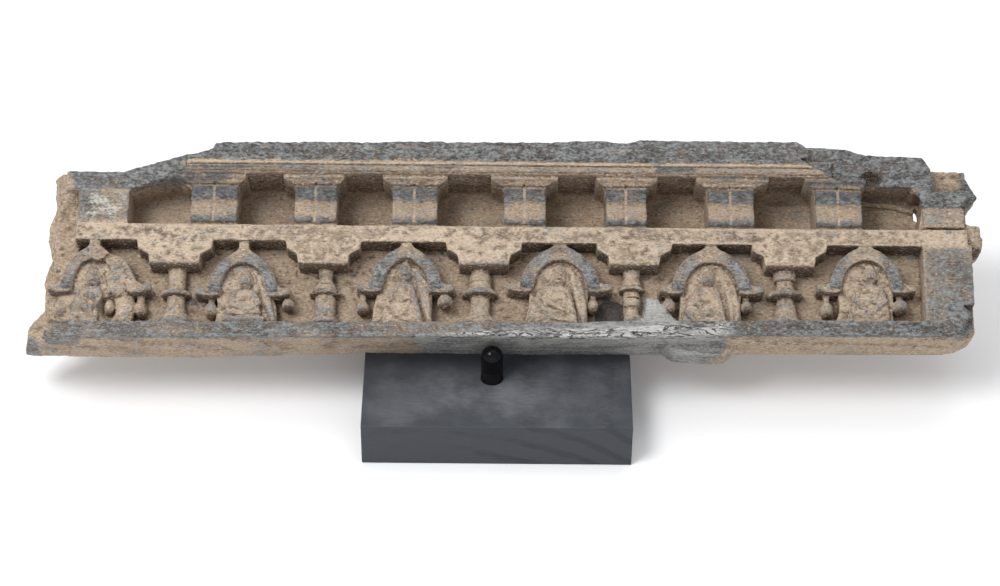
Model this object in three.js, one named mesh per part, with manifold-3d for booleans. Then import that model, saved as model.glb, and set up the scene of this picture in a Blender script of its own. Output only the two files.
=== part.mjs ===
// Stone relief panel: a broken length of arcaded frieze, carved in grey schist, leaning back on
// a low black wooden stand. Millimetres, +X along the panel, +Y away from the viewer, +Z up.
// The origin is the centre of the stand's underside.
import * as THREE from 'three';
import { mergeVertices } from 'three/addons/utils/BufferGeometryUtils.js';
import Module from 'manifold-3d';

const wasm = await Module();
wasm.setup();

// ---- Driving dimensions: stand ----
const STAND_WIDTH = 150;
const STAND_DEPTH = 150;
const STAND_HEIGHT = 28.5;
const GAP = 0.3;                 // clearance between pieces that touch
const HOLE_DEPTH = 12;           // blind holes that the pegs are set in
const PEG_X = -3;
const PEG_Y = -35.2;
const PEG_RADIUS = 6.15;
const PEG_REACH = 22.5;          // front peg's height above the stand
const POST_RADIUS = 6;
const POST_SPREAD = 50;          // rear posts stand this far each side of the middle
const POST_Y = 50;

// ---- Driving dimensions: panel, in its own upright frame ----
// u runs along the panel, v up its face and w out from its flat back.
const LEAN = 60;                 // degrees back from upright
const DEEP = 60;                 // how far out a cut through the whole front starts
const TUCK = 1;                  // how far a raised form is sunk into what it stands on
const FOOT_Y = -16.5;            // where the lower back edge stands
const SLAB = 21;                 // back to the ground of the arcade
const RECESS = 8;                // back to the floor of the deep recesses
const FACE = 36;                 // back to the front of the plain band
const UPPER_WALL = 33;           // back to the broken field round the brackets
const CORNICE = 43;              // back to the front of the cornice roll
const ARCH_FACE = 35;
const GROUND_FOOT = 28.5;        // raised ground in each arch, at its foot and at its crown
const GROUND_CROWN = 31.6;
const FIGURE_FOOT = 31.4;        // front of the figures, at their foot and at their heads
const FIGURE_HEAD = 34.2;
const BAND_BOTTOM = 54.5;
const BAND_TOP = 64.5;
const SOFFIT = 93.3;             // underside of the cornice
const FIELD_LEFT = -237;         // the carved field starts here; the margin beyond is broken
const BORDER_LEFT = 237.5;       // plain right border, to the broken right end
const RIGHT_END = 265;

// ---- Solids and how they are placed ----
function solid(geometry) {
  const bare = geometry.clone();
  bare.deleteAttribute('normal');
  bare.deleteAttribute('uv');
  const merged = mergeVertices(bare, 1e-4);
  return new wasm.Manifold(new wasm.Mesh({
    numProp: 3,
    vertProperties: new Float32Array(merged.attributes.position.array),
    triVerts: new Uint32Array(merged.index.array),
  }));
}

function join(pieces) {
  return pieces.reduce((whole, piece) => whole.add(piece));
}

function cut(body, pieces) {
  return pieces.reduce((whole, piece) => whole.subtract(piece), body);
}

// An outline in u and v, carried from depth `from` out to depth `to`.
function slice(points, from, to) {
  const shape = new THREE.Shape(points.map(([u, v]) => new THREE.Vector2(u, v)));
  const geometry = new THREE.ExtrudeGeometry(shape, { depth: to - from, bevelEnabled: false });
  geometry.translate(0, 0, from);
  geometry.rotateX(Math.PI / 2);
  return solid(geometry);
}

// A side profile in w and v, run along the panel from u0 to u1.
function moulding(profile, u0, u1) {
  const shape = new THREE.Shape(profile.map(([w, v]) => new THREE.Vector2(-w, v)));
  const geometry = new THREE.ExtrudeGeometry(shape, { depth: u1 - u0, bevelEnabled: false });
  geometry.translate(0, 0, u0);
  const sideways = new THREE.Matrix4().makeBasis(
    new THREE.Vector3(0, 1, 0), new THREE.Vector3(0, 0, 1), new THREE.Vector3(1, 0, 0));
  geometry.applyMatrix4(sideways);
  return solid(geometry);
}

// A ground plan in u and w, carried up the panel from v0 to v1.
function plan(points, v0, v1) {
  const shape = new THREE.Shape(points.map(([u, w]) => new THREE.Vector2(u, -w)));
  const geometry = new THREE.ExtrudeGeometry(shape, { depth: v1 - v0, bevelEnabled: false });
  geometry.translate(0, 0, v0);
  return solid(geometry);
}

function block(u0, u1, v0, v1, from, to) {
  return slice([[u0, v0], [u1, v0], [u1, v1], [u0, v1]], from, to);
}

// A round boss half sunk in the stone: centre u, v, w and its three half sizes.
function boss(u, v, w, halfU, halfV, halfW) {
  const geometry = new THREE.SphereGeometry(1, 10, 6);
  geometry.rotateX(Math.PI / 2);
  geometry.scale(halfU, halfW, halfV);
  geometry.translate(u, -w, v);
  return solid(geometry);
}

// ---- Panel: the broken slab ----
const outline = [
  // underside, then the broken right end
  [-266.8, -3], [-150, -2.6], [-78, 0], [75, 0], [130, 0.9], [249, 1], [257, 2],
  [264, 4.2], [267, 8.5], [267, 14], [266, 52],
  [273, 57], [274, 65], [265, 72], [265, 82], [272, 90], [267, 98], [265, 105],
  // top edge, lower where the cornice has broken away at both ends
  [244, 105], [240, 110], [205, 111.5], [196, 114], [174, 114.5], [169, 116], [80, 116],
  [72, 114.3], [60, 115.5], [-50, 115], [-140, 114], [-148, 112.3], [-160, 112.7],
  [-165, 110.5], [-200, 100.5], [-212, 98],
  // broken left end
  [-246, 98.5], [-252, 93], [-251, 80], [-251.6, 56], [-251.3, 46.5], [-255, 37.5],
  [-255.5, 33], [-254.4, 26.4], [-254.2, 17], [-257.5, 12.5], [-262.5, 8], [-266.2, 3],
];

// The back wears thinner from here to the right end.
const WEAR_START = 60;
const END_WEAR = 3.5;
const backWear = plan(
  [[WEAR_START, 0], [WEAR_START, -5], [280, -5], [280, END_WEAR]], -10, 130);

// ---- Panel: brackets under the cornice, with deep recesses between them ----
// Each bracket: left and right edge, then how far its head spreads to each side.
const BRACKETS = [
  { left: -173, right: -146.8, headLeft: -182, headRight: -142 },
  { left: -114.8, right: -90.8, headLeft: -121.5, headRight: -86.5 },
  { left: -60, right: -34.5, headLeft: -65.5, headRight: -29 },
  { left: 3, right: 26.5, headLeft: -4.5, headRight: 33.5 },
  { left: 60.3, right: 83.2, headLeft: 54.5, headRight: 89.5 },
  { left: 117.5, right: 143.5, headLeft: 111, headRight: 152 },
  { left: 178, right: 204.2, headLeft: 172, headRight: 207 },
];
const HEAD_BOTTOM = 88.2;
const CREASE = 77.4;             // hollow between a bracket's two lobes

// Side profiles of a bracket: lower lobe, hollow, upper lobe, then its flared head.
const bracketProfile = [
  [30, BAND_TOP - TUCK], [35.4, BAND_TOP - TUCK], [35.4, 65.3], [37.4, 65.5], [38.6, 68.5],
  [37.7, 73], [34.7, CREASE], [36.8, 80.4], [37.4, 84], [35.2, HEAD_BOTTOM], [30, HEAD_BOTTOM],
];
const headProfile = [
  [30, HEAD_BOTTOM - 0.4], [36.8, HEAD_BOTTOM], [37.6, 90.4], [39.8, 91.1],
  [39.8, SOFFIT + 0.6], [30, SOFFIT + 0.6],
];
const GROOVE = 1;                // width and depth of the groove down each bracket

function bracket({ left, right, headLeft, headRight }) {
  const middle = (left + right) / 2;
  const lobes = moulding(bracketProfile, left, right);
  const flare = slice([
    [left, HEAD_BOTTOM - 0.4], [right, HEAD_BOTTOM - 0.4], [headRight, 91.2],
    [headRight, SOFFIT + 0.6], [headLeft, SOFFIT + 0.6], [headLeft, 91.2],
  ], SLAB, DEEP);
  const head = moulding(headProfile, headLeft, headRight).intersect(flare);
  const groove = block(middle - GROOVE / 2, middle + GROOVE / 2, 66, HEAD_BOTTOM, FACE, DEEP);
  return cut(lobes, [groove]).add(head);
}

// The opening between two brackets narrows at the top, where their heads spread.
function recess(from, to, top) {
  return slice([
    [from.right, BAND_TOP], [to.left, BAND_TOP], [to.left, HEAD_BOTTOM - 2],
    [to.headLeft, HEAD_BOTTOM + 2], [to.headLeft, top], [from.headRight, top],
    [from.headRight, HEAD_BOTTOM + 2], [from.right, HEAD_BOTTOM - 2],
  ], RECESS, DEEP);
}

const recesses = [];
for (let i = 1; i < BRACKETS.length; i += 1) {
  recesses.push(recess(BRACKETS[i - 1], BRACKETS[i], SOFFIT));
}
// The end recesses: a broken upper edge on the left, a split back wall on the right.
recesses.push(slice([
  [-208, BAND_TOP], [-173, BAND_TOP], [-173, 87], [-181, 90.8], [-190, 90.2], [-198, 87.6],
  [-203, 86], [-208, 83.5],
], RECESS, DEEP));
const SPLIT_FLOOR = RECESS + 1.5;
recesses.push(slice([
  [204.2, BAND_TOP], [236, BAND_TOP], [238, 75], [238, 84], [232, 91], [207, 91],
  [204.2, 87],
], SPLIT_FLOOR, DEEP));
const splitPocket = block(232, 240.5, 77, 88, SPLIT_FLOOR, 30);
const split = block(237.4, 239.6, 79, 86, -2, SLAB);

// ---- Panel: cornice ----
const corniceRun = moulding([
  [20, SOFFIT], [41.5, SOFFIT], [41.5, 94.6], [42.6, 95.4], [CORNICE, 96.2], [CORNICE, 98.2],
  [42.4, 99.5], [39.7, 101.8], [39, 103], [40.6, 103.2], [40.6, 104.4], [39, 105], [20, 105],
], -176, 188);
const corniceLoss = slice([[168, 106], [200, 106], [200, 92], [189, 92]], 35.5, DEEP);
const cornice = cut(corniceRun, [corniceLoss]);
const corniceHead = slice([
  [-165, 104], [176, 104], [174, 111], [169, 115], [80, 115.3], [72, 113.5], [60, 114.7],
  [-50, 114], [-140, 112.8], [-160, 111.5],
], 20, 39.6);
const upperWall = slice([
  [FIELD_LEFT, BAND_BOTTOM], [268, 56], [270, 64], [261, 71], [261.5, 81], [267, 88],
  [263, 89.5], [246, 88.5], [244, 103], [240, 109.5], [205, 111], [196, 113.5], [174, 114.5],
  [-160, 112.5], [-165, 110], [-200, 100], [-212, 96.5], [-245, 96.5], [-249, 91], [-247, 80],
  [FIELD_LEFT, 80],
], SLAB - TUCK, UPPER_WALL);
const brokenLeft = slice([
  [-243, 84], [-208, 84], [-203, 86], [-196, 88], [-190, 91], [-176, 91], [-176, 105],
  [-200, 99], [-212, 95.5], [-242, 95.5],
], UPPER_WALL - TUCK, 36.5);
const endBlock = block(-236, -208, BAND_TOP - TUCK, 85, UPPER_WALL - TUCK, FACE);
const lowerLobe = block(238.5, 261, 65.8, 77.5, UPPER_WALL - TUCK, FACE);

// ---- Panel: plain band, lower fillet, border and the broken left margin ----
const band = block(FIELD_LEFT, 262.5, BAND_BOTTOM, BAND_TOP, SLAB - TUCK, FACE);
const fillet = slice([
  [-252, -2.4], [-150, -1.8], [-84, -1.2], [-16, 0], [75, 0], [130, 1.7],
  [254, 2.6], [262, 6], [RIGHT_END, 11], [150, 10.5],
  [60, 8.8], [-150, 7.2], [-236, 6.6], [-252, 6],
], SLAB - TUCK, FACE);
const filletLoss = block(-262, -244, -5, 9, 33.6, DEEP);
const cornerLoss = slice([[-270, -5], [-259, -5], [-254.5, 2], [-252.5, 9], [-270, 12]], 22, DEEP);
const border = block(BORDER_LEFT, RIGHT_END, 9, BAND_BOTTOM + TUCK, SLAB - TUCK, FACE);
const margin = slice([
  [-252, 9], [FIELD_LEFT + TUCK, 8], [FIELD_LEFT + TUCK, 88], [-243, 92], [-250, 90],
  [-249.5, 80], [-252, 62], [-251, 40],
], SLAB - TUCK, 25);

// ---- Panel: stepped brackets under the band, each on a little column ----
const COLUMN_OUT = SLAB + 4;     // depth of a column's axis
const LINTELS = [-181, -98, -8, 76, 163];

// The foot of each block is worn round.
const LINTEL_FOOT = 40;
const lintelProfile = [
  [SLAB - TUCK, LINTEL_FOOT], [33.6, LINTEL_FOOT], [35.2, 40.7], [FACE, 42],
  [FACE, BAND_BOTTOM + TUCK], [SLAB - TUCK, BAND_BOTTOM + TUCK],
];

function lintel(centre) {
  const steps = slice([
    [centre - 14, 39], [centre + 14, 39], [centre + 15, 47], [centre + 21, 50.5],
    [centre + 21.5, BAND_BOTTOM + 2], [centre - 21.5, BAND_BOTTOM + 2],
    [centre - 21, 50.5], [centre - 15, 47],
  ], SLAB - TUCK, DEEP);
  return moulding(lintelProfile, centre - 23, centre + 23).intersect(steps);
}

// Tiers from the bottom up: [bottom, top, half width below, half width above].
const COLUMNS = [
  { centre: -180, tiers: [
    [6, 9.5, 12, 11.5], [9.5, 13, 10, 8], [13, 17.5, 6.6, 5.4], [17.5, 24, 5.2, 5],
    [23.8, 26.8, 8.6, 8.4], [26.8, 42.5, 5.2, 5.4]] },
  { centre: -96.5, tiers: [
    [7, 10, 9.4, 9], [10, 12.6, 8.2, 6.4], [12.6, 25, 6, 5.8], [25, 27.6, 9.4, 8.6],
    [27.6, 31.4, 6.9, 5.8], [31.4, 36, 5.4, 3.4], [36, 42.5, 3.9, 4.6]] },
  { centre: -10, tiers: [
    [8, 10.5, 11, 10.5], [10.5, 13, 9.4, 8.8], [13, 16, 7.2, 5.8], [16, 26, 5.4, 5.5],
    [25.4, 30, 10.8, 6.8], [30, 34.2, 6.8, 5.4], [34.2, 38, 6.3, 5.9], [38, 42.5, 5.3, 4.8]] },
  { centre: 74.8, tiers: [
    [9, 15, 6.5, 5.2], [15, 20, 4, 3.8], [20, 29, 5.2, 4.6], [29, 31.5, 7.5, 7],
    [31.5, 37, 6, 4.6], [37, 43, 4.6, 5]] },
  { centre: 160.8, tiers: [
    [9, 11, 10.6, 10.2], [11, 13.5, 8.8, 8], [13.5, 26, 7.2, 4.6], [25.6, 29.2, 10.6, 9.2],
    [29.2, 33, 5.8, 5.2], [33, 35.6, 4.8, 5.4], [35.6, 42.8, 6.3, 6.5]] },
];

function column({ centre, tiers }) {
  const drums = tiers.map(([bottom, top, below, above]) => {
    const geometry = new THREE.CylinderGeometry(above, below, top - bottom + 0.2, 10);
    geometry.rotateX(Math.PI / 2);
    geometry.translate(centre, -COLUMN_OUT, (bottom + top) / 2);
    return solid(geometry);
  });
  return join(drums);
}

// ---- Panel: arches with scrolled feet, hanging buds and a small figure in each ----
// crown is the top of the arch's outer edge, reach its half width at the feet and width that of
// the band. ground gives the raised ground's left foot, left waist and right foot; robe is the
// outline of the figure's body.
const ARCHES = [
  { centre: -226, crown: 49.5, reach: 18, width: 6.2, rightReach: 25.5, sides: [-1],
    ground: [-246, -245.4, -204], head: [-226.1, 32.6],
    robe: [[-238.5, 9], [-223, 9], [-222.5, 15], [-219.5, 22], [-222, 27.5], [-226, 29.5],
      [-231, 28], [-234.5, 25], [-237, 18]],
    buds: [[-244, 15.5, 4, 5.5]] },
  { centre: -142.4, crown: 48, reach: 19.4, width: 6.6, rightReach: 19.4, sides: [-1, 1],
    ground: [-157.5, -156.5, -123], head: [-140.8, 32], seat: [-153, -130, 11.2],
    robe: [[-152, 10], [-131.5, 10], [-133.8, 22], [-137.5, 26.5], [-144, 26.8], [-148, 24],
      [-151, 19]],
    buds: [[-160, 15.5, 3.5, 4.8], [-117, 19, 3.6, 3.6]] },
  { centre: -51.5, crown: 51, reach: 20, width: 7.2, rightReach: 20, sides: [-1, 1],
    ground: [-70.5, -69.5, -36.5], head: [-51.9, 37.2],
    robe: [[-65, 9], [-40.8, 9], [-42.6, 14], [-44.8, 22], [-47.5, 30.5], [-53, 32],
      [-57.5, 30], [-60, 24], [-63.5, 16]],
    buds: [[-75.5, 18, 3.6, 3.8], [-29.5, 21.5, 4.2, 4.2]] },
  { centre: 34.5, crown: 52, reach: 22, width: 7.4, rightReach: 22, sides: [-1, 1],
    ground: [13.4, 17, 50.2], head: [34.3, 35.8],
    robe: [[15.5, 9], [45.6, 9], [43, 18], [40.6, 26.5], [38, 30], [28, 30.5], [23, 28.5],
      [21, 24], [17.5, 16]],
    buds: [[53, 20, 3.4, 4]] },
  { centre: 119, crown: 51.5, reach: 22, width: 7.2, rightReach: 22, sides: [-1, 1],
    ground: [100.6, 101.4, 136], head: [116.8, 35.6],
    robe: [[102, 9], [128.2, 9], [126, 16], [123.2, 25], [121, 30.5], [115, 31], [110.5, 29],
      [107, 24], [103.5, 16]],
    buds: [[95.5, 20.5, 3.6, 4.4], [138.5, 19.5, 3, 3.4]] },
  { centre: 205.5, crown: 53, reach: 20.5, width: 6.8, rightReach: 20.5, sides: [-1, 1],
    ground: [186, 190.6, 221], head: [207.7, 37.8],
    robe: [[194.5, 9], [218.5, 9], [218, 18], [216, 26], [212.5, 31.5], [207.7, 33],
      [203, 31.5], [199, 26], [196.5, 18]],
    buds: [[183.5, 18.5, 3.6, 4.6], [224.5, 20.5, 4.5, 4.5]] },
];
const ARCH_RISE = 23;            // feet to crown
const LIMB_STEPS = 7;

// One side of the arch as a band between two quarter curves, slightly pointed at the crown.
function limb(centre, crown, reach, width, side) {
  const foot = crown - ARCH_RISE;
  const outer = [];
  const inner = [];
  for (let i = 0; i <= LIMB_STEPS; i += 1) {
    const angle = (Math.PI / 2) * (i / LIMB_STEPS);
    const point = 1 + 0.06 * Math.sin(angle) ** 8;
    outer.push([centre + side * reach * Math.cos(angle),
      foot + ARCH_RISE * Math.sin(angle) * point]);
    inner.push([centre + side * (reach - width) * Math.cos(angle),
      foot + (ARCH_RISE - width) * Math.sin(angle)]);
  }
  const points = outer.concat(inner.reverse());
  return slice(side > 0 ? points : points.reverse(), SLAB - TUCK, ARCH_FACE);
}

// The rolled foot of an arch, standing out to one side.
function scroll(centre, foot, reach, side) {
  const points = [
    [reach - 7, 3.4], [reach - 0.6, 5], [reach + 2.2, 2.6], [reach + 5.4, 2.4],
    [reach + 7, 0.4], [reach + 6.4, -1.8], [reach - 6.4, -2.6],
  ].map(([across, up]) => [centre + side * across, foot + up]);
  return slice(side > 0 ? points.reverse() : points, SLAB - TUCK, ARCH_FACE - 1);
}

// The raised ground inside an arch. It leans back a little.
function ground([left, waist, right], centre, crown, inner) {
  const foot = crown - ARCH_RISE;
  const bell = slice([
    [left, 8], [right, 8], [right - 0.6, 18], [centre + inner, foot + 2],
    [centre + inner - 1, foot + 8], [centre + 7, crown - 6], [centre, crown - 4],
    [centre - 7, crown - 6], [centre - inner + 1, foot + 8], [centre - inner, foot + 2],
    [waist, 18],
  ], SLAB - TUCK, DEEP);
  const slope = [[15, 7], [GROUND_FOOT, 7], [GROUND_CROWN, 50], [15, 50]];
  return moulding(slope, left - TUCK, right + TUCK).intersect(bell);
}

function figure([headU, headV], robe, seat) {
  const slope = [[15, 7], [FIGURE_FOOT, 7], [FIGURE_HEAD, 40], [15, 40]];
  const us = robe.map(([u]) => u);
  const body = moulding(slope, Math.min(...us) - TUCK, Math.max(...us) + TUCK)
    .intersect(slice(robe, SLAB - TUCK, DEEP));
  const pieces = [body, boss(headU, headV, FIGURE_HEAD - 3.2, 4.2, 5.2, 4.6)];
  if (seat) {
    const [left, right, top] = seat;
    pieces.push(block(left, right, 8, top, SLAB - TUCK, FIGURE_FOOT + 2));
  }
  return join(pieces);
}

function arch(design) {
  const { centre, crown, reach, width, rightReach, sides } = design;
  const foot = crown - ARCH_RISE;
  const pieces = sides.map((side) => limb(centre, crown, reach, width, side));
  pieces.push(slice([
    [centre - 9.5, crown - 3.6], [centre + 9.5, crown - 3.6], [centre + 4.2, crown + 0.8],
    [centre + 2.8, crown + 2.8], [centre + 2.8, BAND_BOTTOM + TUCK],
    [centre - 2.8, BAND_BOTTOM + TUCK], [centre - 2.8, crown + 2.8], [centre - 4.2, crown + 0.8],
  ], SLAB - TUCK, ARCH_FACE));
  pieces.push(scroll(centre, foot, reach, -1), scroll(centre, foot, rightReach, 1));
  for (const [u, v, halfU, halfV] of design.buds) {
    pieces.push(boss(u, v, SLAB + 6, halfU, halfV, 7));
  }
  pieces.push(ground(design.ground, centre, crown, reach - width + 2));
  pieces.push(figure(design.head, design.robe, design.seat));
  return join(pieces);
}

// A smooth swelling fills the right side of four niches.
const swellings = [
  [[-136, 38], [-133.5, 30], [-130.5, 20], [-125.8, 8], [-123.4, 8], [-126.4, 20], [-129.6, 30]],
  [[-46.5, 40], [-45, 32], [-42.5, 20], [-39.2, 8], [-36.8, 8], [-37.4, 20], [-40, 32]],
  [[40, 41], [41.4, 32], [43.6, 20], [47.4, 8], [49.8, 8], [49.4, 20], [46.6, 32]],
  [[124, 41], [126, 32], [128.2, 20], [130.2, 8], [134.8, 8], [134.8, 20], [132, 32]],
].map((points) => slice(points, SLAB, 32.6));

// The end niche keeps a worn lozenge at its crown. Its right half is broken back to a smooth
// low ground with a deep pit.
const lozenge = slice([
  [-229.5, 48.5], [-228, 44.2], [-224, 41.2], [-220, 43.8], [-218.6, 47.5], [-221.5, 50.5],
  [-228, 50.8],
], SLAB - TUCK, ARCH_FACE + 0.8);
const lens = slice([
  [-222, 47.5], [-214, 46.5], [-207, 41.5], [-203, 34], [-201.5, 30], [-208, 29.5],
  [-213, 33], [-218, 40],
], SLAB - TUCK, 33.2);
const pit = boss(-217.2, 15.3, 32, 5.4, 7.8, 8);

// Cement left by an old repair hangs under the right half.
const cementLump = slice([
  [90, 2], [95, -1.5], [99, -3.8], [107, -4.4], [118, -4.8], [127, -4], [131, -0.5], [134, 3],
], 2, 20);
// Filled break between the fourth and fifth columns.
const fill = slice([[82, 8], [101, 8], [100, 14], [94, 17], [92, 26], [83, 25]],
  SLAB - TUCK, SLAB + 6);

const lower = join([
  fillet, border, margin, band, ...LINTELS.map(lintel), ...COLUMNS.map(column),
  ...ARCHES.map(arch), ...swellings, lozenge, lens, fill, cementLump,
]);
const upper = join([
  upperWall, brokenLeft, endBlock, lowerLobe, cornice, corniceHead, ...BRACKETS.map(bracket),
]);
const openedUpper = cut(slice(outline, 0, SLAB).add(upper), recesses);
const panel = cut(openedUpper.add(lower), [
  split, splitPocket, filletLoss, cornerLoss, pit, backWear,
]);

// ---- Stand ----
function cylinder(radius, bottom, top, x, y, sides = 20) {
  const geometry = new THREE.CylinderGeometry(radius, radius, top - bottom, sides);
  geometry.rotateX(Math.PI / 2);
  geometry.translate(x, y, (bottom + top) / 2);
  return geometry;
}

// A round rod with a domed end, standing in a blind hole of the stand.
function rod(radius, top) {
  const points = [new THREE.Vector2(0, STAND_HEIGHT - HOLE_DEPTH + GAP)];
  points.push(new THREE.Vector2(radius, STAND_HEIGHT - HOLE_DEPTH + GAP));
  const steps = 4;
  for (let i = 0; i <= steps; i += 1) {
    const angle = (Math.PI / 2) * (i / steps);
    const across = i === steps ? 0 : radius * Math.cos(angle);
    points.push(new THREE.Vector2(across, top - radius + radius * Math.sin(angle)));
  }
  const geometry = new THREE.LatheGeometry(points, 16);
  geometry.rotateX(Math.PI / 2);
  return geometry;
}

const lean = THREE.MathUtils.degToRad(LEAN);
// Where the panel's back passes over a rear post, and how low the post's dome must stay.
const backHeight = STAND_HEIGHT + GAP + (POST_Y - FOOT_Y) / Math.tan(lean);
const postTop = backHeight + POST_RADIUS - (POST_RADIUS + GAP) / Math.sin(lean);

const standBlock = new THREE.BoxGeometry(STAND_WIDTH, STAND_DEPTH, STAND_HEIGHT);
standBlock.translate(0, 0, STAND_HEIGHT / 2);
const holes = [
  [PEG_RADIUS, PEG_X, PEG_Y], [POST_RADIUS, -POST_SPREAD, POST_Y],
  [POST_RADIUS, POST_SPREAD, POST_Y],
].map(([radius, x, y]) => (
  solid(cylinder(radius + GAP, STAND_HEIGHT - HOLE_DEPTH, STAND_HEIGHT + 5, x, y))));

// ---- Meshes ----
function meshGeometry(manifold) {
  const { vertProperties, triVerts } = manifold.getMesh();
  const geometry = new THREE.BufferGeometry();
  geometry.setAttribute('position', new THREE.BufferAttribute(vertProperties, 3));
  geometry.setIndex(new THREE.BufferAttribute(triVerts, 1));
  geometry.computeVertexNormals();
  return geometry;
}

function piece(name, geometry, material) {
  const mesh = new THREE.Mesh(geometry, material);
  mesh.name = name;
  return mesh;
}

const schist = new THREE.MeshStandardMaterial({ color: 0x9a8c7c, roughness: 0.92, metalness: 0 });
const blackPaint = new THREE.MeshStandardMaterial({ color: 0x2e3034, roughness: 0.6, metalness: 0 });
const blackSleeve = new THREE.MeshStandardMaterial({ color: 0x0a0a0b, roughness: 0.2, metalness: 0 });

const object = new THREE.Group();

const reclining = new THREE.Group();
reclining.position.set(0, FOOT_Y, STAND_HEIGHT + GAP);
reclining.rotation.x = -lean;
reclining.add(piece('relief_panel', meshGeometry(panel), schist));
object.add(reclining);

object.add(piece('stand_base', meshGeometry(cut(solid(standBlock), holes)), blackPaint));

const peg = piece('front_peg', rod(PEG_RADIUS, STAND_HEIGHT + PEG_REACH), blackSleeve);
peg.position.set(PEG_X, PEG_Y, 0);
object.add(peg);

for (const [name, side] of [['rear_post_left', -1], ['rear_post_right', 1]]) {
  const post = piece(name, rod(POST_RADIUS, postTop), blackSleeve);
  post.position.set(side * POST_SPREAD, POST_Y, 0);
  object.add(post);
}

export default object;
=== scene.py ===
import math

import bmesh
import bpy
import numpy as np
from mathutils import Matrix, Vector


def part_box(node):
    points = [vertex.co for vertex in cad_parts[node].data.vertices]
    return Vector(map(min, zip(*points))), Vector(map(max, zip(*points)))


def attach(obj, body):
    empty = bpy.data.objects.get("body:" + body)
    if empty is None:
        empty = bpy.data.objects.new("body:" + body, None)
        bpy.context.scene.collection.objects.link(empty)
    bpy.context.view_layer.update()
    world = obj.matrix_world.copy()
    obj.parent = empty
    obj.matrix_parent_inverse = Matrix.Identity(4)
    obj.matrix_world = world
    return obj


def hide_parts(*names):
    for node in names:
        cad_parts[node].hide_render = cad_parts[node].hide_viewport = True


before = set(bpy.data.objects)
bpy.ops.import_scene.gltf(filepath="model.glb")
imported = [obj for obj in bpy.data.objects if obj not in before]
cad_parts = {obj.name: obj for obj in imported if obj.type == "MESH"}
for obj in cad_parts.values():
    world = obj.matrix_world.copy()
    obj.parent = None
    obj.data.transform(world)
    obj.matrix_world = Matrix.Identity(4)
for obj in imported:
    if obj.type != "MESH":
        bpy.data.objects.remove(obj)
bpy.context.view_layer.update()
scene = bpy.context.scene
MM = 0.001

# ------------------------------
# Relief panel
# One block of grey schist, carved by hand as an arcade of small figures under a cornice on
# brackets. Both ends are broken off, the right half of its foot is mended with cement, and tan
# earth clings to it. It leans back on the stand and the posts by its own weight.
# ------------------------------
# The panel's own upright frame, in mm: u along it, v up its face, w out from its flat back.
LEAN = math.radians(60)
LEAN_BACK = math.radians(30)
FOOT_Y = -16.5
GAP = 0.3
SLAB = 21
RECESS = 8
FACE = 36
UPPER_WALL = 33
CORNICE = 43
CLEAR = 60  # in front of the whole panel
FAR_OFF = 12.0  # every point's distance before any stone is there
ROOT = SLAB - 2  # where raised forms start, inside the slab
ARCH_FACE = 35
BAND_BOTTOM = 54.5
BAND_TOP = 64.5
SOFFIT = 93.3
HEAD_BOTTOM = 88.7
FIELD_LEFT = -237
BORDER_LEFT = 237.5
RIGHT_END = 265
STEP = 0.66
TRIANGLES = 192000


def rise(x, start, over):
    """0 up to the start, then evenly up to 1 over the length given."""
    return np.clip((x - start) / over, 0, 1)


def fall(x, end, over):
    """Evenly down from 1 to 0 at the end, over the length given."""
    return np.clip((end - x) / over, 0, 1)


def corners(u0, u1, v0, v1):
    return [(u0, v0), (u1, v0), (u1, v1), (u0, v1)]


def soft_low(a, b, blend):
    """The lower of two distances, with the crease between them rounded over the blend."""
    if blend <= 0:
        return np.minimum(a, b)
    h = np.maximum(blend - np.abs(a - b), 0) / blend
    return np.minimum(a, b) - h * h * blend * 0.25


class Stone:
    """Distances from a grid of points to the surface of the stone, negative inside it."""

    def __init__(self, low, high, step):
        self.low = np.array(low, np.float32)
        self.step = step
        self.axes = [np.arange(a, b + step, step, dtype=np.float32) for a, b in zip(low, high)]
        self.far = np.full([len(a) for a in self.axes], FAR_OFF, np.float32)

    def near(self, low, high, margin=4.0):
        cuts = []
        for start, a, b, axis in zip(self.low, low, high, self.axes):
            first = max(0, int((a - margin - start) / self.step))
            last = min(len(axis), int((b + margin - start) / self.step) + 2)
            cuts.append(slice(first, last))
        u, v, w = (axis[c] for axis, c in zip(self.axes, cuts))
        return tuple(cuts), (u[:, None, None], v[None, :, None], w[None, None, :])

    def add(self, shape, blend=1.0):
        low, high, distance = shape
        cuts, points = self.near(low, high)
        self.far[cuts] = soft_low(self.far[cuts], distance(*points), blend)

    def cut(self, shape, blend=0.8):
        low, high, distance = shape
        cuts, points = self.near(low, high)
        self.far[cuts] = -soft_low(-self.far[cuts], distance(*points), blend)


def outline_distance(x, y, points):
    """Distance to a closed outline, negative inside."""
    nearest = np.full(np.broadcast(x, y).shape, 1e9, np.float32)
    inside = np.zeros(nearest.shape, bool)
    for (ax, ay), (bx, by) in zip(points, points[1:] + points[:1]):
        ex, ey = bx - ax, by - ay
        px, py = x - ax, y - ay
        along = np.clip((px * ex + py * ey) / (ex * ex + ey * ey), 0, 1)
        nearest = np.minimum(nearest, (px - ex * along) ** 2 + (py - ey * along) ** 2)
        above, below, left = y >= ay, y < by, ex * py > ey * px
        inside ^= (above & below & left) | ~(above | below | left)
    return np.sqrt(nearest) * np.where(inside, -1, 1)


def carried(flat, deep, edge):
    """An outline's distance carried through a depth, with its arrises rounded by `edge`."""
    flat, deep = flat + edge, deep + edge
    outside = np.hypot(np.maximum(flat, 0), np.maximum(deep, 0))
    return np.minimum(np.maximum(flat, deep), 0) + outside - edge


def slab(points, start, end, edge=0.35):
    us, vs = zip(*points)

    def distance(u, v, w):
        deep = np.abs(w - (start + end) / 2) - (end - start) / 2
        return carried(outline_distance(u, v, points), deep, edge)

    return (min(us), min(vs), start), (max(us), max(vs), end), distance


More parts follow.
